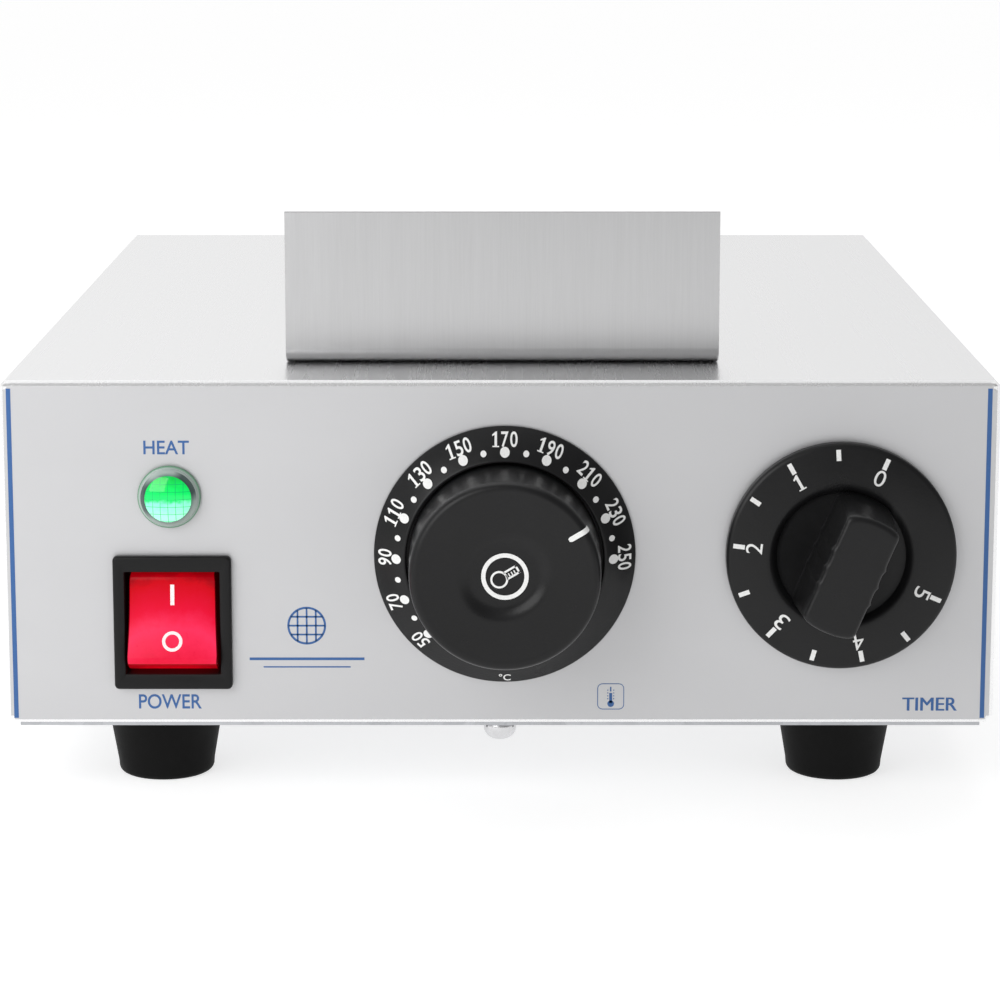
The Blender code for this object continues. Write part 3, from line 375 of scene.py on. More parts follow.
LOOKS = [
    brushed(
        "stainless_sheet", (0.88, 0.88, 0.885), 0.27, (900, 14, 900), swing=0.006, depth=0.0002, spread=0.015
    ),
    brushed(
        "brushed_steel", (0.57, 0.57, 0.575), 0.33, (2600, 2600, 60), swing=0.04, depth=0.003, spread=0.04
    ),
    galvanised(),
    film(),
    moulded("black_plastic", (0.006, 0.006, 0.0063), 0.42, Specular_IOR_Level=0.22),
    moulded("black_rubber", (0.004, 0.004, 0.004), 0.6, grain=1500, depth=0.03, Specular_IOR_Level=0.1),
    rocker_red(),
    lamp_green(),
    plated("screw_steel", (0.7, 0.7, 0.71), 0.2),
    plated("brass", (0.72, 0.55, 0.25), 0.3),
    plated("copper", (0.72, 0.4, 0.26), 0.3, 0.12),
    moulded("ceramic", (0.78, 0.75, 0.69), 0.3, grain=500, swing=0.04),
    moulded("white_nylon", (0.75, 0.74, 0.7), 0.42, grain=900, swing=0.05),
    insulation("brown_insulation", (0.13, 0.05, 0.025)),
    insulation("blue_insulation", (0.02, 0.09, 0.38)),
    earth_sleeve(),
]
LOOKS = {look.name: look for look in LOOKS}
KNOB_LOOK = moulded(
    "knob_plastic", (0.0075, 0.0075, 0.008), 0.33, grain=2000, depth=0.03, Specular_IOR_Level=0.27
)
BLUE_INK = ink("blue_ink", (0.029, 0.112, 0.32))
WHITE_INK = ink("white_ink", (0.84, 0.84, 0.83))
ROCKER_INK = ink("white_mark", (0.95, 0.86, 0.86))


# ---- mesh helpers

def add_object(name, data):
    made = bpy.data.objects.new(name, data)
    bpy.context.scene.collection.objects.link(made)
    return made


def evaluated(holder):
    """The mesh of an object with its letters or modifiers worked out."""
    bpy.context.view_layer.update()
    return bpy.data.meshes.new_from_object(holder.evaluated_get(bpy.context.evaluated_depsgraph_get()))


def move(builder, matrix):
    bmesh.ops.transform(builder, matrix=matrix, verts=builder.verts)


def plain_mesh(name, builder):
    """Turns the bmesh into a mesh and frees it."""
    bmesh.ops.recalc_face_normals(builder, faces=builder.faces)
    mesh = bpy.data.meshes.new(name)
    builder.to_mesh(mesh)
    builder.free()
    return mesh


def shaded(name, builder, look, smooth):
    """A mesh with its material; smooth is the angle above which edges stay sharp, or 0."""
    mesh = plain_mesh(name, builder)
    if smooth:
        mesh.shade_smooth()
        mesh.set_sharp_from_angle(angle=math.radians(smooth))
    mesh.materials.append(look.made)
    return mesh


def finish_piece(name, builder, look, body, smooth=35, location=(0, 0, 0)):
    """Makes the bmesh an object that rides on body."""
    bmesh.ops.remove_doubles(builder, verts=builder.verts, dist=1e-7)
    return link_piece(name, shaded(name, builder, look, smooth), body, location)


def print_piece(name, builder, look, body):
    """Flat-shaded printing or marks, already in place."""
    return finish_piece(name, builder, look, body, smooth=0)


def link_piece(name, mesh, body, location=(0, 0, 0), turn=None):
    made = add_object(name, mesh)
    made.matrix_world = Matrix.Translation(location) @ (turn or Matrix.Identity(4))
    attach(made, body)
    return made


def loft(builder, rings, closed=False, caps=True):
    """Skins lists of points, each a closed ring of the same length or a single point."""
    made = [[builder.verts.new(point) for point in ring] for ring in rings]
    pairs = list(zip(made, made[1:])) + ([(made[-1], made[0])] if closed else [])
    for one, other in pairs:
        steps = max(len(one), len(other))
        for i in range(steps):
            j = (i + 1) % steps
            if len(one) == 1:
                corners = [one[0], other[j], other[i]]
            elif len(other) == 1:
                corners = [one[i], one[j], other[0]]
            else:
                corners = [one[i], one[j], other[j], other[i]]
            builder.faces.new(corners)
    if caps and not closed:
        for ring in (made[0], made[-1]):
            if len(ring) > 1:
                builder.faces.new(ring)


def circle(radius, height, steps):
    """A ring of points round Z, or the one point on it."""
    if radius < 1e-9:
        return [Vector((0, 0, height))]
    angles = [2 * math.pi * i / steps for i in range(steps)]
    return [Vector((radius * math.cos(a), radius * math.sin(a), height)) for a in angles]


def revolve(builder, profile, steps, turn=None):
    """A solid of revolution about Z; a profile off the axis at both ends makes a ring."""
    rings = [circle(radius, height, steps) for radius, height in profile]
    if turn:
        rings = [[turn @ point for point in ring] for ring in rings]
    closed = profile[0][0] > 1e-9 and profile[-1][0] > 1e-9
    loft(builder, rings, closed=closed, caps=False)


def in_mm(*pairs):
    return [(one * MM, other * MM) for one, other in pairs]


FACING = Matrix.Rotation(math.radians(90), 4, "X")  # +Z of a drawing or a turned piece becomes -Y


def faced(x, y, z, clockwise=0.0):
    """Places a drawing on the front at x, y, z, turned clockwise in degrees."""
    return Matrix.Translation((x, y, z)) @ Matrix.Rotation(math.radians(clockwise), 4, "Y") @ FACING


def around(middle, y, radius, clockwise, upright=False):
    """A place on a dial, radius out at an angle clockwise from the top."""
    angle = math.radians(clockwise)
    x, z = middle.x + radius * math.sin(angle), middle.z + radius * math.cos(angle)
    return faced(x, y, z, 0 if upright else clockwise)


def plate(builder, outline, place, thickness=INK):
    """A flat drawing with a little thickness. outline is a list of (x, y)."""
    low = [place @ Vector((x, y, 0)) for x, y in outline]
    high = [place @ Vector((x, y, thickness)) for x, y in outline]
    loft(builder, [low, high])


def bar(builder, width, height, place, across=0.0, up=0.0, radius=0.0, thickness=INK):
    """A rectangle, its corners rounded by radius."""
    x, y = width / 2, height / 2
    if radius <= 0:
        outline = [(-x, -y), (x, -y), (x, y), (-x, y)]
    else:
        outline = rounded(width, height, radius)
    plate(builder, [(a + across, b + up) for a, b in outline], place, thickness)


def rounded(width, height, radius, steps=4):
    outline = []
    for quarter, (sx, sy) in enumerate(((1, 1), (-1, 1), (-1, -1), (1, -1))):
        for i in range(steps + 1):
            angle = math.radians(90 * (quarter + i / steps))
            x = sx * (width / 2 - radius) + radius * math.cos(angle)
            y = sy * (height / 2 - radius) + radius * math.sin(angle)
            outline.append((x, y))
    return outline


def ring_outline(radius, across=0.0, up=0.0, steps=40):
    angles = [2 * math.pi * i / steps for i in range(steps)]
    return [(across + radius * math.cos(a), up + radius * math.sin(a)) for a in angles]


def disc(builder, radius, place, across=0.0, up=0.0, steps=24):
    plate(builder, ring_outline(radius, across, up, steps), place)


def frame_of(builder, outer, inner, place, thickness=INK):
    """A flat band between two outlines of the same length."""
    rings = []
    for outline, height in ((outer, 0), (outer, thickness), (inner, thickness), (inner, 0)):
        rings.append([place @ Vector((x, y, height)) for x, y in outline])
    loft(builder, rings, closed=True)


def lettering(builder, words, height, place, width, weight=0.0, thickness=INK):
    """Adds words of a given height and width, centred on place."""
    curve = bpy.data.curves.new("lettering", "FONT")
    curve.body = words
    curve.extrude = 0.5
    curve.offset = weight
    holder = add_object("lettering", curve)
    mesh = evaluated(holder)
    low = Vector([min(v.co[i] for v in mesh.vertices) for i in range(3)])
    high = Vector([max(v.co[i] for v in mesh.vertices) for i in range(3)])
    size = high - low
    middle = Matrix.Translation((-(low.x + high.x) / 2, -(low.y + high.y) / 2, -low.z))
    fit = Matrix.Diagonal((width / size.x, height / size.y, thickness / size.z, 1))
    mesh.transform(place @ (fit @ middle))
    builder.from_mesh(mesh)
    bpy.data.objects.remove(holder)
    bpy.data.curves.remove(curve)
    bpy.data.meshes.remove(mesh)


ONE = [(-0.09, -0.42), (-0.09, 0.27), (-0.26, 0.2), (-0.26, 0.3), (0, 0.5), (0.09, 0.5)]
ONE += [(0.09, -0.42), (0.24, -0.42), (0.24, -0.5), (-0.24, -0.5), (-0.24, -0.42)]
DIGIT_FILL = 0.82  # of the pitch


def numeral(builder, digits, height, pitch, place, weight=0.0, thickness=INK):
    """Adds a number with even spacing; its ones are drawn here, with a flag and a foot."""
    for i, digit in enumerate(digits):
        spot = place @ Matrix.Translation(((i - (len(digits) - 1) / 2) * pitch, 0, 0))
        if digit != "1":
            lettering(builder, digit, height, spot, pitch * DIGIT_FILL, weight, thickness)
            continue
        plate(builder, [(x * height, y * height) for x, y in reversed(ONE)], spot, thickness)


# ---- prints on the front

def thermometer(builder, place, length, width, stroke):
    """A thermometer: a ring bulb, a tube with an open bore, and scale marks."""
    bulb = width * 0.95
    foot = -length / 2 + bulb
    frame_of(builder, ring_outline(bulb, 0, foot, 28), ring_outline(bulb - stroke, 0, foot, 28), place)
    top = length / 2
    side = width / 2
    tube_foot = foot + bulb * 0.8
    for sign in (-1, 1):
        across = sign * (side - stroke / 2)
        bar(builder, stroke, top - tube_foot, place, across, (top + tube_foot) / 2)
    bar(builder, width, stroke, place, 0, top - stroke / 2, radius=stroke * 0.45)
    for i in range(4):
        bar(builder, width * 0.45, stroke * 0.55, place, width * 0.12, top - (i + 1.6) * stroke * 1.5)


STRIPES_X = (-122.4 * MM, 122.0 * MM)
STRIPE_WIDTH, STRIPE_LENGTH, STRIPE_Z = 1.15 * MM, 84.6 * MM, 62.9 * MM
WEIGHT = 0.012  # how far the stock letters are thickened
WORDS = (  # word, height, width, x and z in millimetres
    ("HEAT", 3.5, 11.4, -83.3, 90.3),
    ("POWER", 3.8, 15.9, -83.4, 24.9),
)
ICON_X, ICON_Z, ICON_SIDE = 28.0 * MM, 26.2 * MM, 6.8 * MM


def front_prints():
    """The film's stripes, words, thermometer icon and the plain mark."""
    builder = bmesh.new()
    face = FILM_FACE + 0.005 * MM
    for x in STRIPES_X:
        bar(builder, STRIPE_WIDTH, STRIPE_LENGTH, faced(0, face, 0), x, STRIPE_Z)
    for word, height, width, x, z in WORDS:
        lettering(builder, word, height * MM, faced(x * MM, face, z * MM), width * MM, WEIGHT)
    # Thickening spoils the M, so this word is printed twice, at two thicknesses and a little apart.
    for nudge, thickness in ((-0.1, INK), (0.1, 1.5 * INK)):
        spot = faced((108.7 + nudge) * MM, face, 24.2 * MM)
        lettering(builder, "TIMER", 3.4 * MM, spot, 13.7 * MM, thickness=thickness)
    thermometer_icon(builder, faced(ICON_X, face, ICON_Z))
    waffle_mark(builder, face)
    print_piece("front_prints", builder, BLUE_INK, BASE)


def thermometer_icon(builder, icon):
    """A small thermometer between scale marks, in a rounded frame."""
    inner = ICON_SIDE - 0.4 * MM
    outlines = rounded(ICON_SIDE, ICON_SIDE, 1.3 * MM), rounded(inner, inner, 1.1 * MM)
    frame_of(builder, *outlines, icon)
    disc(builder, 0.85 * MM, icon, 0, -1.9 * MM)
    bar(builder, 0.75 * MM, 2.6 * MM, icon, 0, -0.4 * MM)
    for i in range(4):
        for sign in (-1, 1):
            bar(builder, 0.3 * MM, 0.25 * MM, icon, sign * 0.75 * MM, (-0.6 + 0.75 * i) * MM)
    bar(builder, 0.35 * MM, 1.2 * MM, icon, 0, 1.9 * MM)


def waffle_mark(builder, face):
    """A plain round waffle over two rules."""
    mark_x = -48.7 * MM
    mark = faced(mark_x, face, 44.6 * MM)
    radius, stroke, line, pitch = 4.9 * MM, 0.55 * MM, 0.45 * MM, 2.3 * MM
    frame_of(builder, ring_outline(radius), ring_outline(radius - stroke), mark)
    for i in (-1, 0, 1):
        offset = i * pitch
        reach = 2 * (math.sqrt((radius - stroke / 2) ** 2 - offset**2))
        bar(builder, line, reach, mark, offset, 0)
        bar(builder, reach, line, mark, 0, offset)
    for z, width, height in ((36.0, 29.0, 0.7), (33.9, 22.0, 0.35)):
        bar(builder, width * MM, height * MM, faced(mark_x, face, z * MM))


DEGREES_PER_STEP = 22.5  # of dial, for 20 degrees Celsius
STEPS_BELOW_TOP = 6
CONE_FOOT, CONE_TOP = (32.65 * MM, 1.0 * MM), (25.5 * MM, 6.8 * MM)  # radius and height


def cone_height(radius):
    """Height of the dial's sloping face above its back."""
    t = (CONE_FOOT[0] - radius) / (CONE_FOOT[0] - CONE_TOP[0])
    return CONE_FOOT[1] + t * (CONE_TOP[1] - CONE_FOOT[1])


def dial():
    """The fixed scale ring: a cone that rises towards the knob, open in the middle."""
    profile = in_mm((5, 2.2), (20, 2.2), (20, 0.02), (32.6, 0.02), (32.8, 0.2), (32.8, 0.75))
    profile += [CONE_FOOT, CONE_TOP]
    profile += in_mm((25.3, 6.94), (25.05, 7), (24.8, 6.94), (24.6, 6.7), (24.6, 3.2), (5, 3.2), (5, 2.2))
    builder = bmesh.new()
    loft(builder, [circle(radius, height, 128) for radius, height in profile], caps=False)
    bmesh.ops.remove_doubles(builder, verts=builder.verts, dist=0.001 * MM)
    bmesh.ops.recalc_face_normals(builder, faces=builder.faces)
    move(builder, FACING)
    place = (DIAL.x, DIAL_BACK, DIAL.z)
    ring = finish_piece("thermostat_cone", builder, KNOB_LOOK, BASE, location=place)
    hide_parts("thermostat_dial")


DIAL_WEIGHT = 0.014
DOT_RING, SMALL_DOT_RING = 27.1 * MM, 27.2 * MM
DIAL_DIGITS, DIAL_DIGIT_HEIGHT, DIAL_DIGIT_PITCH = 29.95 * MM, 3.45 * MM, 2.25 * MM
LOWEST, HIGHEST_STEP = 50, 10


def dial_prints():
    """The dots and numbers, drawn flat and then laid on the cone."""
    builder = bmesh.new()
    face = DIAL_BACK - 0.09 * MM
    for step in range(HIGHEST_STEP + 1):
        angle = (step - STEPS_BELOW_TOP) * DEGREES_PER_STEP
        disc(builder, 1.2 * MM, around(DIAL, face, DOT_RING, angle))
        place = around(DIAL, face, DIAL_DIGITS, angle)
        words = str(LOWEST + 20 * step)
        numeral(builder, words, DIAL_DIGIT_HEIGHT, DIAL_DIGIT_PITCH, place, DIAL_WEIGHT)
        if step < HIGHEST_STEP:
            between = around(DIAL, face, SMALL_DOT_RING, angle + DEGREES_PER_STEP / 2)
            disc(builder, 0.75 * MM, between, steps=16)
    unit = around(DIAL, face, 31.2 * MM, 180, upright=True)
    lettering(builder, "°C", 2.1 * MM, unit, 3.0 * MM, DIAL_WEIGHT)
    for point in builder.verts:
        point.co.y -= cone_height(math.hypot(point.co.x - DIAL.x, point.co.z - DIAL.z))
    print_piece("thermostat_scale", builder, WHITE_INK, BASE)


# ---- thermostat knob

POINTER_ANGLE = 59.2
KNOB_DISH = 21.2 * MM  # radius of the dished face
KNOB_SHOULDER = [
    (radius * MM, KNOB_HEIGHT - drop * MM)
    for radius, drop in ((21.7, 0.04), (22.2, 0.12), (22.7, 0.4), (23.1, 0.85), (23.38, 1.5), (23.5, 2.4))
]


def knob_face(x, y):
    """Height of the thermostat knob's dished face. x and y are from its middle, y towards the pointer."""
    radius = math.hypot(x, y)
    dish, hollow_depth = 0.75 * MM, 1.1 * MM
    height = KNOB_HEIGHT - 0.1 * MM - dish * max(0, 1 - (radius / KNOB_DISH) ** 2) ** 1.2
    oval = math.hypot(x / (9.25 * MM), y / (10.5 * MM))
    hollow = max(0.0, min(1.0, (1.12 - oval) / 0.3))
    return height - hollow_depth * hollow * hollow * (3 - 2 * hollow)


def knob_rings():
    """The knob's outside, from the middle of the face to the back of the skirt, and its hollow back."""
    steps, face_rings = 128, 30
    rings = [[Vector((0, 0, knob_face(0, 0)))]]
    for i in range(1, face_rings + 1):
        ring = circle(KNOB_DISH * i / face_rings, 0, steps)
        rings.append([Vector((p.x, p.y, knob_face(p.x, p.y))) for p in ring])
    side, cavity = KNOB_RADIUS, KNOB_HEIGHT - 5 * MM
    skirt = [
        (23.55 * MM, KNOB_HEIGHT - 4 * MM),
        (23.75 * MM, 9 * MM),
        (side - 0.05 * MM, 3.2 * MM),
        (side, 0.5 * MM),
        (side - 0.3 * MM, 0),
        (side - 2.2 * MM, 0),
        (side - 2.4 * MM, cavity),
        (0, cavity),
    ]
    return rings + [circle(radius, height, steps) for radius, height in KNOB_SHOULDER + skirt]


def thermostat_knob():
    builder = bmesh.new()
    loft(builder, knob_rings(), caps=False)
    turn = Matrix.Rotation(math.radians(POINTER_ANGLE), 4, "Y") @ FACING
    move(builder, turn)
    place = (KNOB_CENTRE.x, KNOB_HIGH.y, KNOB_CENTRE.z)
    knob = finish_piece(
        "thermostat_knob_shell", builder, KNOB_LOOK, THERMOSTAT, location=place
    )
    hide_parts("thermostat_knob")
    knob_prints(Matrix.Translation(place) @ turn)


def knob_prints(place):
    """The ringed thermometer, and the pointer that bends over the knob's edge."""
    builder = bmesh.new()
    flat = place @ Matrix.Translation((0, 0, knob_face(0, 0) + 0.004 * MM))
    frame_of(builder, ring_outline(5.8 * MM), ring_outline(4.75 * MM), flat, 0.25 * MM)
    thermometer(builder, flat, 7.6 * MM, 2.3 * MM, 0.5 * MM)
    half, lift, narrow_end = 0.66 * MM, 0.03 * MM, 0.6
    path = [(r * MM, knob_face(0, r * MM)) for r in (18.1, 18.7, 19.6, 20.6, 21.2)] + KNOB_SHOULDER
    rings = []
    for i, (radius, height) in enumerate(path):
        before, after = path[max(0, i - 1)], path[min(len(path) - 1, i + 1)]
        along = Vector((0, after[0] - before[0], after[1] - before[1])).normalized()
        out = Vector((0, -along.z, along.y))
        middle = Vector((0, radius, height))
        width = half * (narrow_end if i == 0 else 1.0)
        corners = [(-width, -lift), (width, -lift), (width, lift), (-width, lift)]
        rings.append([place @ (middle + Vector((x, 0, 0)) + out * rise) for x, rise in corners])
    loft(builder, rings)
    print_piece("thermostat_pointer", builder, WHITE_INK, THERMOSTAT)


# ---- timer knob

SKIRT_RADIUS = (TIMER_HIGH.x - TIMER_LOW.x) / 2 + 0.35 * MM
PROUD = CASE_FACE - TIMER_LOW.y
GRIP_ANGLE = 23.0  # degrees clockwise
ZERO_ANGLE = 24.2
DEGREES_PER_HALF = 27  # of dial, for half a minute
SKIRT_RIM, SKIRT_CROWN, DISH_FLOOR, DISH_RADIUS = 4.4 * MM, 5.3 * MM, 2.95 * MM, 17.35 * MM
SLOPE_START, SLOPE_END = DISH_RADIUS + 2 * MM, SKIRT_RADIUS - 1.2 * MM
SLOPE_FOOT = SKIRT_RIM + 0.12 * MM


def grip_outline(half_width, half_length, ribs):
    """One ring of the grip bar: straight ribbed sides and bowed ends."""
    bow, rib_width = 2.3 * MM, 0.62 * MM
    straight = half_length - bow
    steps, end_steps = 40, 10
    outline = []
    for sign in (1, -1):
        for i in range(steps):
            along = -straight + 2 * straight * i / steps
            rib = sum(math.exp(-(((along - at * MM) / rib_width) ** 2)) for at in (-4.6, 0, 4.6))
            outline.append((sign * (half_width + ribs * rib), sign * along))
        for i in range(end_steps):
            t = i / end_steps
            across = half_width * math.cos(math.pi * t)
            outline.append((sign * across, sign * (straight + bow * math.sin(math.pi * t) ** 0.8)))
    return outline


def timer_skirt(builder):
    rim = SKIRT_RADIUS
    profile = [
        (0, DISH_FLOOR),
        (DISH_RADIUS - 2.2 * MM, DISH_FLOOR),
        (DISH_RADIUS - 1.2 * MM, DISH_FLOOR + 0.3 * MM),
        (DISH_RADIUS - 0.25 * MM, SKIRT_CROWN - 0.5 * MM),
        (DISH_RADIUS + 0.3 * MM, SKIRT_CROWN - 0.1 * MM),
        (DISH_RADIUS + 0.9 * MM, SKIRT_CROWN + 0.02 * MM),
        (SLOPE_START, SKIRT_CROWN),
        (SLOPE_END, SLOPE_FOOT),
        (rim - 0.5 * MM, SKIRT_RIM - 0.12 * MM),
        (rim - 0.1 * MM, SKIRT_RIM - 0.6 * MM),
        (rim, SKIRT_RIM - 1.3 * MM),
        (rim, 1.3 * MM),
        (rim - 1.6 * MM, 1.3 * MM),
        (rim - 1.7 * MM, 2.6 * MM),
        (0, 2.6 * MM),
    ]
    revolve(builder, profile, 128)


def timer_grip(builder):
    """The ribbed bar: a flared foot, a tapering body and a rounded top edge."""
    foot, edge = DISH_FLOOR + 1 * MM, PROUD - 1.2 * MM
    top_width, top_length, rib = 6.85 * MM, 15.2 * MM, 0.3 * MM
    levels = []  # height, half width, half length and rib depth
    for rise, flare, half_length in ((-0.3, 1.0, 17.0), (0.25, 0.5, 16.8), (1, 0.3, 16.6)):
        levels.append((DISH_FLOOR + rise * MM, 6.65 * MM + flare * MM, half_length * MM, rib))
    for i in range(1, 7):
        t = i / 6
        levels.append((foot + t * (edge - foot), (6.95 - 0.1 * t) * MM, (16.6 - 1.4 * t) * MM, 0.42 * MM))
    for angle in (30, 60, 80):
        inset = 1.2 * MM * (1 - math.cos(math.radians(angle)))
        height = edge + 1.2 * MM * math.sin(math.radians(angle))
        levels.append((height - 0.0002 * MM, top_width - inset, top_length - inset, rib))
    levels.append((PROUD, top_width - 1.5 * MM, top_length - 1.5 * MM, 0.0))
    turn = Matrix.Rotation(math.radians(-GRIP_ANGLE), 4, "Z")
    rings = []
    for height, *sizes in levels:
        rings.append([turn @ Vector((x, y, height)) for x, y in grip_outline(*sizes)])
    loft(builder, rings)


def timer_knob():
    builder = bmesh.new()
    timer_skirt(builder)
    timer_grip(builder)
    move(builder, FACING)
    place = (TIMER_CENTRE.x, CASE_FACE, TIMER_CENTRE.z)
    knob = finish_piece("timer_knob_shell", builder, KNOB_LOOK, TIMER, location=place)
    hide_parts("timer_knob")
    timer_prints()


def skirt_height(radius):
    """Height of the sloping ring the scale is printed on."""
    t = (radius - SLOPE_START) / (SLOPE_END - SLOPE_START)
    return SKIRT_CROWN + max(0, t) * (SLOPE_FOOT - SKIRT_CROWN)


def timer_prints():
    builder = bmesh.new()
    slope = math.atan2(SKIRT_CROWN - SLOPE_FOOT, SLOPE_END - SLOPE_START)

    def on_skirt(radius, clockwise):
        place = around(TIMER_CENTRE, CASE_FACE - skirt_height(radius), radius, clockwise)
        return place @ Matrix.Rotation(-slope, 4, "X")

    for half_minute in range(11):
        angle = ZERO_ANGLE - DEGREES_PER_HALF * half_minute
        whole = half_minute % 2 == 0
        middle, length = (25.9 * MM, 2.9 * MM) if whole else (26.0 * MM, 2.8 * MM)
        bar(builder, 1.15 * MM, length, on_skirt(middle, angle), thickness=2 * INK)
        if whole:
            place = on_skirt(22.1 * MM, angle)
            numeral(builder, str(half_minute // 2), 4.1 * MM, 3.3 * MM, place, thickness=2 * INK)
    print_piece("timer_scale", builder, WHITE_INK, TIMER)


# ---- switch and lamp

ROCKER_REST = math.radians(-11)
ROCKER_RADIUS, ROCKER_CORNER = 12.7 * MM, 31
ROCKER_REACH = ROCKER_RADIUS * math.cos(math.radians(ROCKER_CORNER))
ROCKER_DEPTH = ROCKER_RADIUS * math.sin(math.radians(ROCKER_CORNER))


def rocker_face(z):
    """Depth of the rocker's front in its own frame: two shallow slopes that meet at the pivot."""
    t = min(1.0, abs(z) / ROCKER_REACH)
    return -ROCKER_DEPTH + 1.0 * MM * (1 - t**1.5)


def rocker_outline():
    """Seen from the side: the upper flank, the face and the lower flank, as (y, z)."""
    ease = 3
    reach = 18 + ROCKER_CORNER - ease

    def flank(start):
        angles = [math.radians(start + reach * i / 12) for i in range(13)]
        return [(ROCKER_RADIUS * math.cos(a), ROCKER_RADIUS * math.sin(a)) for a in angles]

    places = [ROCKER_REACH * (0.955 - 1.91 * i / 24) for i in range(25)]
    face = [(rocker_face(z), z) for z in places]
    return flank(72) + face + flank(270 - ROCKER_CORNER + ease)


def rocker():
    low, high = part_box("switch_rocker")
    half = (high.x - low.x) / 2
    middle = Vector((-0.5 * MM, 0))
    sides = [(-half, 0.45), (-half + 0.12 * MM, 0.16), (-half + 0.4 * MM, 0)]
    sides += [(half - 0.4 * MM, 0), (half - 0.12 * MM, 0.16), (half, 0.45)]
    rings = []
    for x, inset in sides:
        ring = []
        for y, z in rocker_outline():
            point = Vector((y, z))
            pulled = point + (middle - point).normalized() * inset * MM
            narrow = 1 - 0.05 * (pulled.y / ROCKER_REACH + 1) / 2
            ring.append(Vector((x * narrow, pulled.x, pulled.y)))
        rings.append(ring)
    builder = bmesh.new()
    loft(builder, rings)
    rest = Matrix.Translation(PIVOT) @ Matrix.Rotation(ROCKER_REST, 4, "X")
    move(builder, rest)
    cap = finish_piece("rocker_cap", builder, LOOKS["red_lens"], ROCKER, smooth=40)
    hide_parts("switch_rocker")
    rocker_marks(rest)


def rocker_marks(rest):
    """The raised line of the upper half and ring of the lower half."""
    builder = bmesh.new()
    slope, proud = 0.1, 0.12 * MM

    def on_face(z, tilt):
        place = rest @ Matrix.Translation((0, rocker_face(z), z)) @ Matrix.Rotation(tilt, 4, "X")
        return place @ FACING @ Matrix.Translation((0, 0, -0.01 * MM))

    bar(builder, 1.0 * MM, 5.2 * MM, on_face(6.1 * MM, slope), thickness=proud)
    ring = on_face(-5.6 * MM, -slope)
    frame_of(builder, ring_outline(2.55 * MM), ring_outline(1.75 * MM), ring, proud)
    print_piece("rocker_marks", builder, ROCKER_INK, ROCKER)


def bezel():
    """The switch's moulded frame, with a rounded outline and a chamfered window, and its body."""
    low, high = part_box("switch_housing")
    middle = (low + high) / 2
    outer, deep = (high.x - low.x, high.z - low.z), 2 * MM
    window = (23.8 * MM, 26.2 * MM)
    body = (25.6 * MM, 30.2 * MM)
    rings = []

    def ring(size, grow, radius, height):
        outline = rounded(size[0] + grow * MM, size[1] + grow * MM, radius * MM, 6)
        rings.append([Vector((x, y, height)) for x, y in outline])

    ring(body, 0, 0.2, deep - (high.y - low.y))
    ring(body, 0, 0.2, 0)
    ring(outer, -0.3, 1.1, 0)
    ring(outer, 0, 1.2, 0.25 * MM)
    ring(outer, 0, 1.2, deep - 0.7 * MM)
    ring(outer, -0.25, 1.1, deep - 0.3 * MM)
    ring(outer, -0.8, 0.9, deep - 0.05 * MM)
    ring(outer, -1.4, 0.7, deep)
    ring(window, 0.9, 0.5, deep)
    ring(window, 0.3, 0.35, deep - 0.2 * MM)
    ring(window, 0, 0.25, deep - 0.6 * MM)
    ring(window, 0, 0.25, -12.8 * MM)
    builder = bmesh.new()
    loft(builder, rings)
    move(builder, FACING)
    place = (middle.x, low.y + deep, middle.z)
    look = LOOKS["black_plastic"]
    piece = finish_piece("switch_bezel", builder, look, BASE, location=place)
    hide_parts("switch_housing")


def lamp():
    low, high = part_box("lamp_lens")
    flange = (high.x - low.x) / 2
    tall = high.y - low.y
    profile = [(0, tall)]
    dome, brim = 7.35 * MM, 1.2 * MM
    for angle in range(10, 91, 8):
        a = math.radians(angle)
        profile.append((dome * math.sin(a), brim + (tall - brim) * math.cos(a)))
    profile += [(flange - 0.25 * MM, 1.05 * MM), (flange, 0.75 * MM), (flange, 0.1 * MM)]
    profile += [(flange - 0.2 * MM, 0), *in_mm((5.3, 0), (5.3, 1.7), (0, 1.7))]
    builder = bmesh.new()
    revolve(builder, profile, 72, FACING.to_3x3())
    place = (LAMP.x, high.y, LAMP.z)
    bmesh.ops.translate(builder, vec=place, verts=builder.verts)
    lens = finish_piece("lamp_dome", builder, LOOKS["green_lens"], BASE)
    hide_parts("lamp_lens")


# ---- bracket

def bracket():
    """The folded angle, with a smooth bend and eased edges; its measured ends are a little inside the box."""
    low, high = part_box("support_bracket")
    sheet, bend, ease = 1.5 * MM, 4 * MM, 0.2 * MM
    ends = low.x + 1.7 * MM, high.x - 0.5 * MM
    inner = bend - sheet
    turn = [math.radians(180 + 90 * i / 12) for i in range(13)]
    y, z = low.y + bend, low.z + bend
    outline = [(low.y + ease, high.z), (low.y, high.z - ease)]
    outline += [(y + bend * math.cos(a), z + bend * math.sin(a)) for a in turn]
    outline += [(high.y - ease, low.z), (high.y, low.z + ease), (high.y, low.z + sheet - ease)]
    outline += [(high.y - ease, low.z + sheet)]
    outline += [(y + inner * math.cos(a), z + inner * math.sin(a)) for a in reversed(turn)]
    outline += [(low.y + sheet, high.z - ease), (low.y + sheet - ease, high.z)]
    builder = bmesh.new()
    loft(builder, [[Vector((x, *point)) for point in outline] for x in ends])
    made = finish_piece("bracket_folded", builder, LOOKS["brushed_steel"], BASE)
    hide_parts("support_bracket")


# ---- screws, feet and gland

THREAD_PITCH, THREAD_CREST, THREAD_ROOT = 0.7 * MM, 1.9 * MM, 1.62 * MM


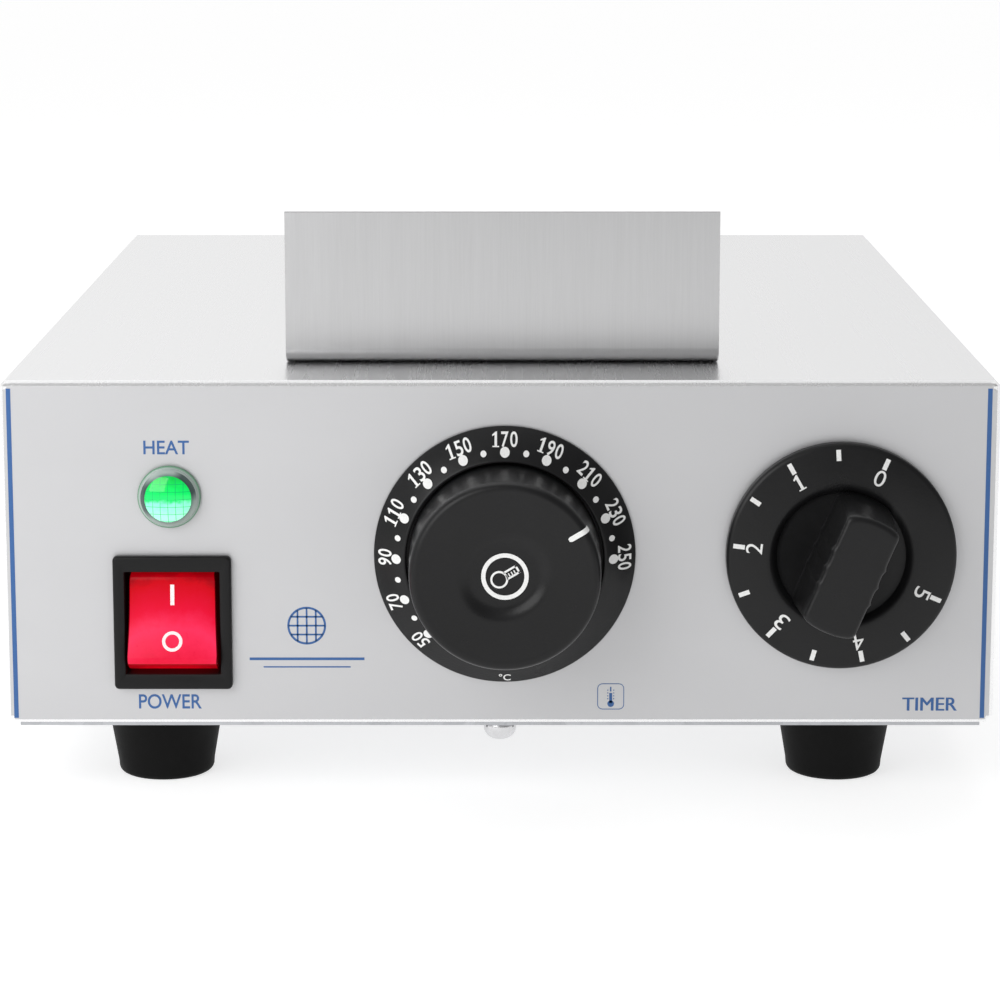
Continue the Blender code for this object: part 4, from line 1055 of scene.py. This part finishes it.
def screw_mesh(name, head, tall, shank):
    """A pan head with a cross recess over a threaded shank; the head faces +Z."""
    builder = bmesh.new()
    profile = [(0, tall)]
    for i in range(1, 9):
        a = math.radians(90 * i / 8)
        profile.append((head * math.sin(a) ** 0.9, tall * (0.24 + 0.76 * math.cos(a) ** 0.9)))
    profile += [(head, tall * 0.1), (head - 0.2 * MM, 0), (THREAD_CREST, 0)]
    for i in range(int(shank / THREAD_PITCH)):
        profile.append((THREAD_CREST, -(i + 0.35) * THREAD_PITCH))
        profile.append((THREAD_ROOT, -(i + 0.75) * THREAD_PITCH))
    profile += [(1.3 * MM, -shank), (0, -shank)]
    revolve(builder, profile, 36)
    holder = add_object(name, plain_mesh(name, builder))
    depth, wide, long = tall * 0.55, head * 0.13, head * 0.58
    arm = [(wide, wide), (wide, long), (-wide, long)]
    outline = []
    for _quarter in range(4):
        outline += arm
        arm = [(-y, x) for x, y in arm]
    levels = ((0.45, tall - depth), (1.1, tall + 1 * MM))  # the recess narrows downwards
    cutter = bmesh.new()
    loft(cutter, [[Vector((x * s, y * s, z)) for x, y in outline] for s, z in levels])
    tool = add_object("cross", plain_mesh("cross", cutter))
    cut = holder.modifiers.new("cross", "BOOLEAN")
    cut.operation, cut.solver, cut.object = "DIFFERENCE", "EXACT", tool
    mesh = evaluated(holder)
    mesh.name = name
    mesh.materials.clear()
    mesh.materials.append(LOOKS["screw_steel"].made)
    mesh.shade_smooth()
    mesh.set_sharp_from_angle(angle=math.radians(38))
    for old in (holder, tool):
        bpy.data.objects.remove(old)
    return mesh


SCREWS = {  # facing, head radius, head height and shank length in millimetres
    "base_screw": ((0, 0, -1), 4.2, 4.6, 8.0),
    "foot_screw": ((0, 0, -1), 3.9, 2.6, 20.0),
    "bracket_screw": ((0, 0, 1), 3.9, 2.6, 8.0),
    "rear_screw": ((0, 1, 0), 3.9, 2.6, 7.0),
}
FIRST_SPIN, SPIN_STEP = 1.23, 0.83  # each cross is turned a little further


def screws():
    """Replaces each visible screw: its head's underside comes from its CAD box."""
    meshes = {}
    spin = FIRST_SPIN
    for node in sorted(frame["nodes"]):
        kind = next((k for k in SCREWS if node.startswith(k)), None)
        if kind is None:
            continue
        forward, head, tall, shank = SCREWS[kind]
        if kind not in meshes:
            meshes[kind] = screw_mesh(kind, head * MM, tall * MM, shank * MM)
        low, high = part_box(node)
        way = Vector(forward)
        middle = (low + high) / 2
        end = Vector([high[i] if way[i] > 0 else low[i] for i in range(3)])
        place = Vector([end[i] - way[i] * tall * MM if way[i] else middle[i] for i in range(3)])
        turn = way.to_track_quat("Z", "Y").to_matrix().to_4x4() @ Matrix.Rotation(spin, 4, "Z")
        piece = link_piece(node + "_cross", meshes[kind], BASE, place, turn)
        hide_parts(node)
        spin += SPIN_STEP


FOOT_TAPER, FOOT_ROUND = 0.825, 1.7 * MM
FOOT_RECESS, FOOT_HOLE, RECESS_DEPTH = 5.2 * MM, 2.2 * MM, 7 * MM


def feet():
    """Tapered rubber feet with a rounded lower edge and a recess for the screw."""
    low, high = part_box("foot_front_left")
    top = (high.x - low.x) / 2
    tall = high.z - low.z
    bottom = top * FOOT_TAPER
    inner = bottom - FOOT_ROUND
    profile = [(FOOT_RECESS, 0.4 * MM), (5.6 * MM, 0), (inner, 0)]
    for angle in (20, 40, 60, 80):
        a = math.radians(angle)
        profile.append((inner + FOOT_ROUND * math.sin(a), FOOT_ROUND * (1 - math.cos(a))))
    profile += [(bottom + 0.1 * MM, 3 * MM), (top - 0.15 * MM, tall - 0.6 * MM)]
    profile += [(top, tall - 0.3 * MM), (top - 0.1 * MM, tall)]
    profile += [(FOOT_HOLE, tall), (FOOT_HOLE, RECESS_DEPTH), (FOOT_RECESS, RECESS_DEPTH)]
    builder = bmesh.new()
    revolve(builder, profile, 72)
    mesh = shaded("rubber_foot", builder, LOOKS["black_rubber"], 40)
    for end in ("front", "back"):
        for side in ("left", "right"):
            node = f"foot_{end}_{side}"
            middle = centre(node)
            foot = link_piece(node + "_rubber", mesh, BASE, (middle.x, middle.y, 0))
            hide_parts(node)


GLAND_STEPS = 120


def polar(radii, height):
    """A ring of points round Z, one radius for each step."""
    ring = []
    for i, radius in enumerate(radii):
        angle = 2 * math.pi * i / GLAND_STEPS
        ring.append(Vector((radius * math.cos(angle), radius * math.sin(angle), height)))
    return ring


def hexagon(height, chamfer=0.0):
    """A hexagon with its corners turned off to a circle."""
    radii = []
    for i in range(GLAND_STEPS):
        fold = (2 * math.pi * i / GLAND_STEPS + math.pi / 6) % (math.pi / 3) - math.pi / 6
        radii.append(min(11.9 * MM / math.cos(fold), (13 - chamfer) * MM))
    return polar(radii, height * MM)


def ribbed(height, radius, depth):
    """A circle with twenty grooves."""
    waves = [0.5 + 0.5 * math.cos(20 * 2 * math.pi * i / GLAND_STEPS) for i in range(GLAND_STEPS)]
    return polar([(radius - depth * wave**3) * MM for wave in waves], height)


def gland():
    """A ribbed dome nut on a hexagonal body, its bore open for a cord."""
    low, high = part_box("gland_body")
    middle = (low + high) / 2
    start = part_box("rear_panel")[1].y + 0.3 * MM
    reach = high.y - start
    bore = 4.4

    def turned(*pairs):
        return [circle(radius * MM, height, GLAND_STEPS) for radius, height in pairs]

    rings = turned((bore, -14 * MM), (9.3, -14 * MM))
    for i in range(9):
        rings += turned((9.6, (-13.2 + i * 1.5) * MM), (9.1, (-12.5 + i * 1.5) * MM))
    rings += turned((9.6, -0.3 * MM), (12.4, 0), (12.6, 1 * MM))
    rings += [hexagon(1.1, 0.3), hexagon(1.6), hexagon(5.2), hexagon(5.8, 0.7)]
    rings += turned((10.4, 6 * MM), (10.4, 6.8 * MM), (11.9, 7 * MM))
    rings += [ribbed(7.6 * MM, 12.1, 0.0), ribbed(8.2 * MM, 12.1, 0.7)]
    rings += [ribbed(reach - 9 * MM, 11.9, 0.7), ribbed(reach - 7.5 * MM, 11.7, 0.0)]
    rings += turned((11.0, reach - 4.5 * MM), (9.6, reach - 2 * MM), (7.8, reach - 0.4 * MM))
    rings += turned((7.2, reach), (5.4, reach), (bore, reach - 0.8 * MM))
    builder = bmesh.new()
    loft(builder, rings, closed=True)
    move(builder, Matrix.Rotation(math.radians(-90), 4, "X"))
    place = (middle.x, start, middle.z)
    piece = finish_piece("gland_ribbed", builder, LOOKS["black_plastic"], BASE, 30, place)
    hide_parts("gland_body")


# ---- studio and camera

FLOOR_HALF = 6.0
LIGHTS = (  # name, place, size and watts
    ("key", (-0.3, -0.47, 0.3), 0.36, 1.25),
    ("top", (0.0, 0.35, 1.3), 1.1, 4.0),
)
AIM = Vector((0, 0, 0.06))


def surroundings():
    """A pale studio: brighter on the left and behind, and plain white where the camera sees it."""
    world = bpy.data.worlds.new("studio")
    bpy.context.scene.world = world
    nodes = Nodes(world)
    x, y, _ = nodes.axes(nodes.node("ShaderNodeTexCoord").outputs["Generated"])
    light = nodes.math("ADD", nodes.span(x, 0.6, 0.3, -0.6, 0.6), nodes.span(y, 0.0, 0.44, 0.2, 0.9))
    mix = nodes.node("ShaderNodeMix", data_type="FLOAT")
    mix.inputs["B"].default_value = 1.0
    nodes.link(nodes.node("ShaderNodeLightPath").outputs["Is Camera Ray"], mix.inputs["Factor"])
    nodes.link(light, mix.inputs["A"])
    background = nodes.tree.nodes["Background"]
    background.inputs["Color"].default_value = (1, 1, 1, 1)
    nodes.link(mix.outputs["Result"], background.inputs["Strength"])


def studio():
    bpy.context.scene.view_settings.view_transform = "Standard"
    surroundings()
    floor_mesh = bpy.data.meshes.new("floor")
    corners = [(x * FLOOR_HALF, y * FLOOR_HALF, 0) for x, y in ((-1, -1), (1, -1), (1, 1), (-1, 1))]
    floor_mesh.from_pydata(corners, [], [(0, 1, 2, 3)])
    floor = add_object("floor", floor_mesh)
    sockets = {"Emission_Color": (1, 1, 1, 1), "Emission_Strength": 0.69}
    floor_mesh.materials.append(Look("pale_floor", (0.5, 0.5, 0.5), 0.9, **sockets).made)
    for name, place, size, power in LIGHTS:
        data = bpy.data.lights.new(name, "AREA")
        data.size = size
        data.energy = power
        aim = (AIM - Vector(place)).to_track_quat("-Z", "Y")
        add_object(name, data).matrix_world = Matrix.Translation(place) @ aim.to_matrix().to_4x4()


CAMERA_PLACE = (0, -0.937, 0.240)
CAMERA_PITCH = 9.93  # degrees down
LENS, SENSOR = 115.5, 36  # millimetres
SHIFT_DOWN = -0.1


def camera():
    data = bpy.data.cameras.new("camera")
    data.sensor_width = SENSOR
    data.lens = LENS
    data.shift_y = SHIFT_DOWN
    data.clip_start, data.clip_end = 0.05, 30
    made = add_object("camera", data)
    made.location = CAMERA_PLACE
    made.rotation_euler = (math.radians(90 - CAMERA_PITCH), 0, 0)
    bpy.context.scene.camera = made


def dress_frame():
    """Gives each CAD node that stays its finished material."""
    slots = {part["node"]: part["material_slot"] for part in frame["record"]["subparts"]}
    for name, node in frame["nodes"].items():
        node.data.materials.clear()
        node.data.materials.append(LOOKS[slots[name]].made)


dress_frame()
front_prints()
dial()
dial_prints()
thermostat_knob()
timer_knob()
bezel()
rocker()
lamp()
bracket()
screws()
feet()
gland()
studio()
camera()
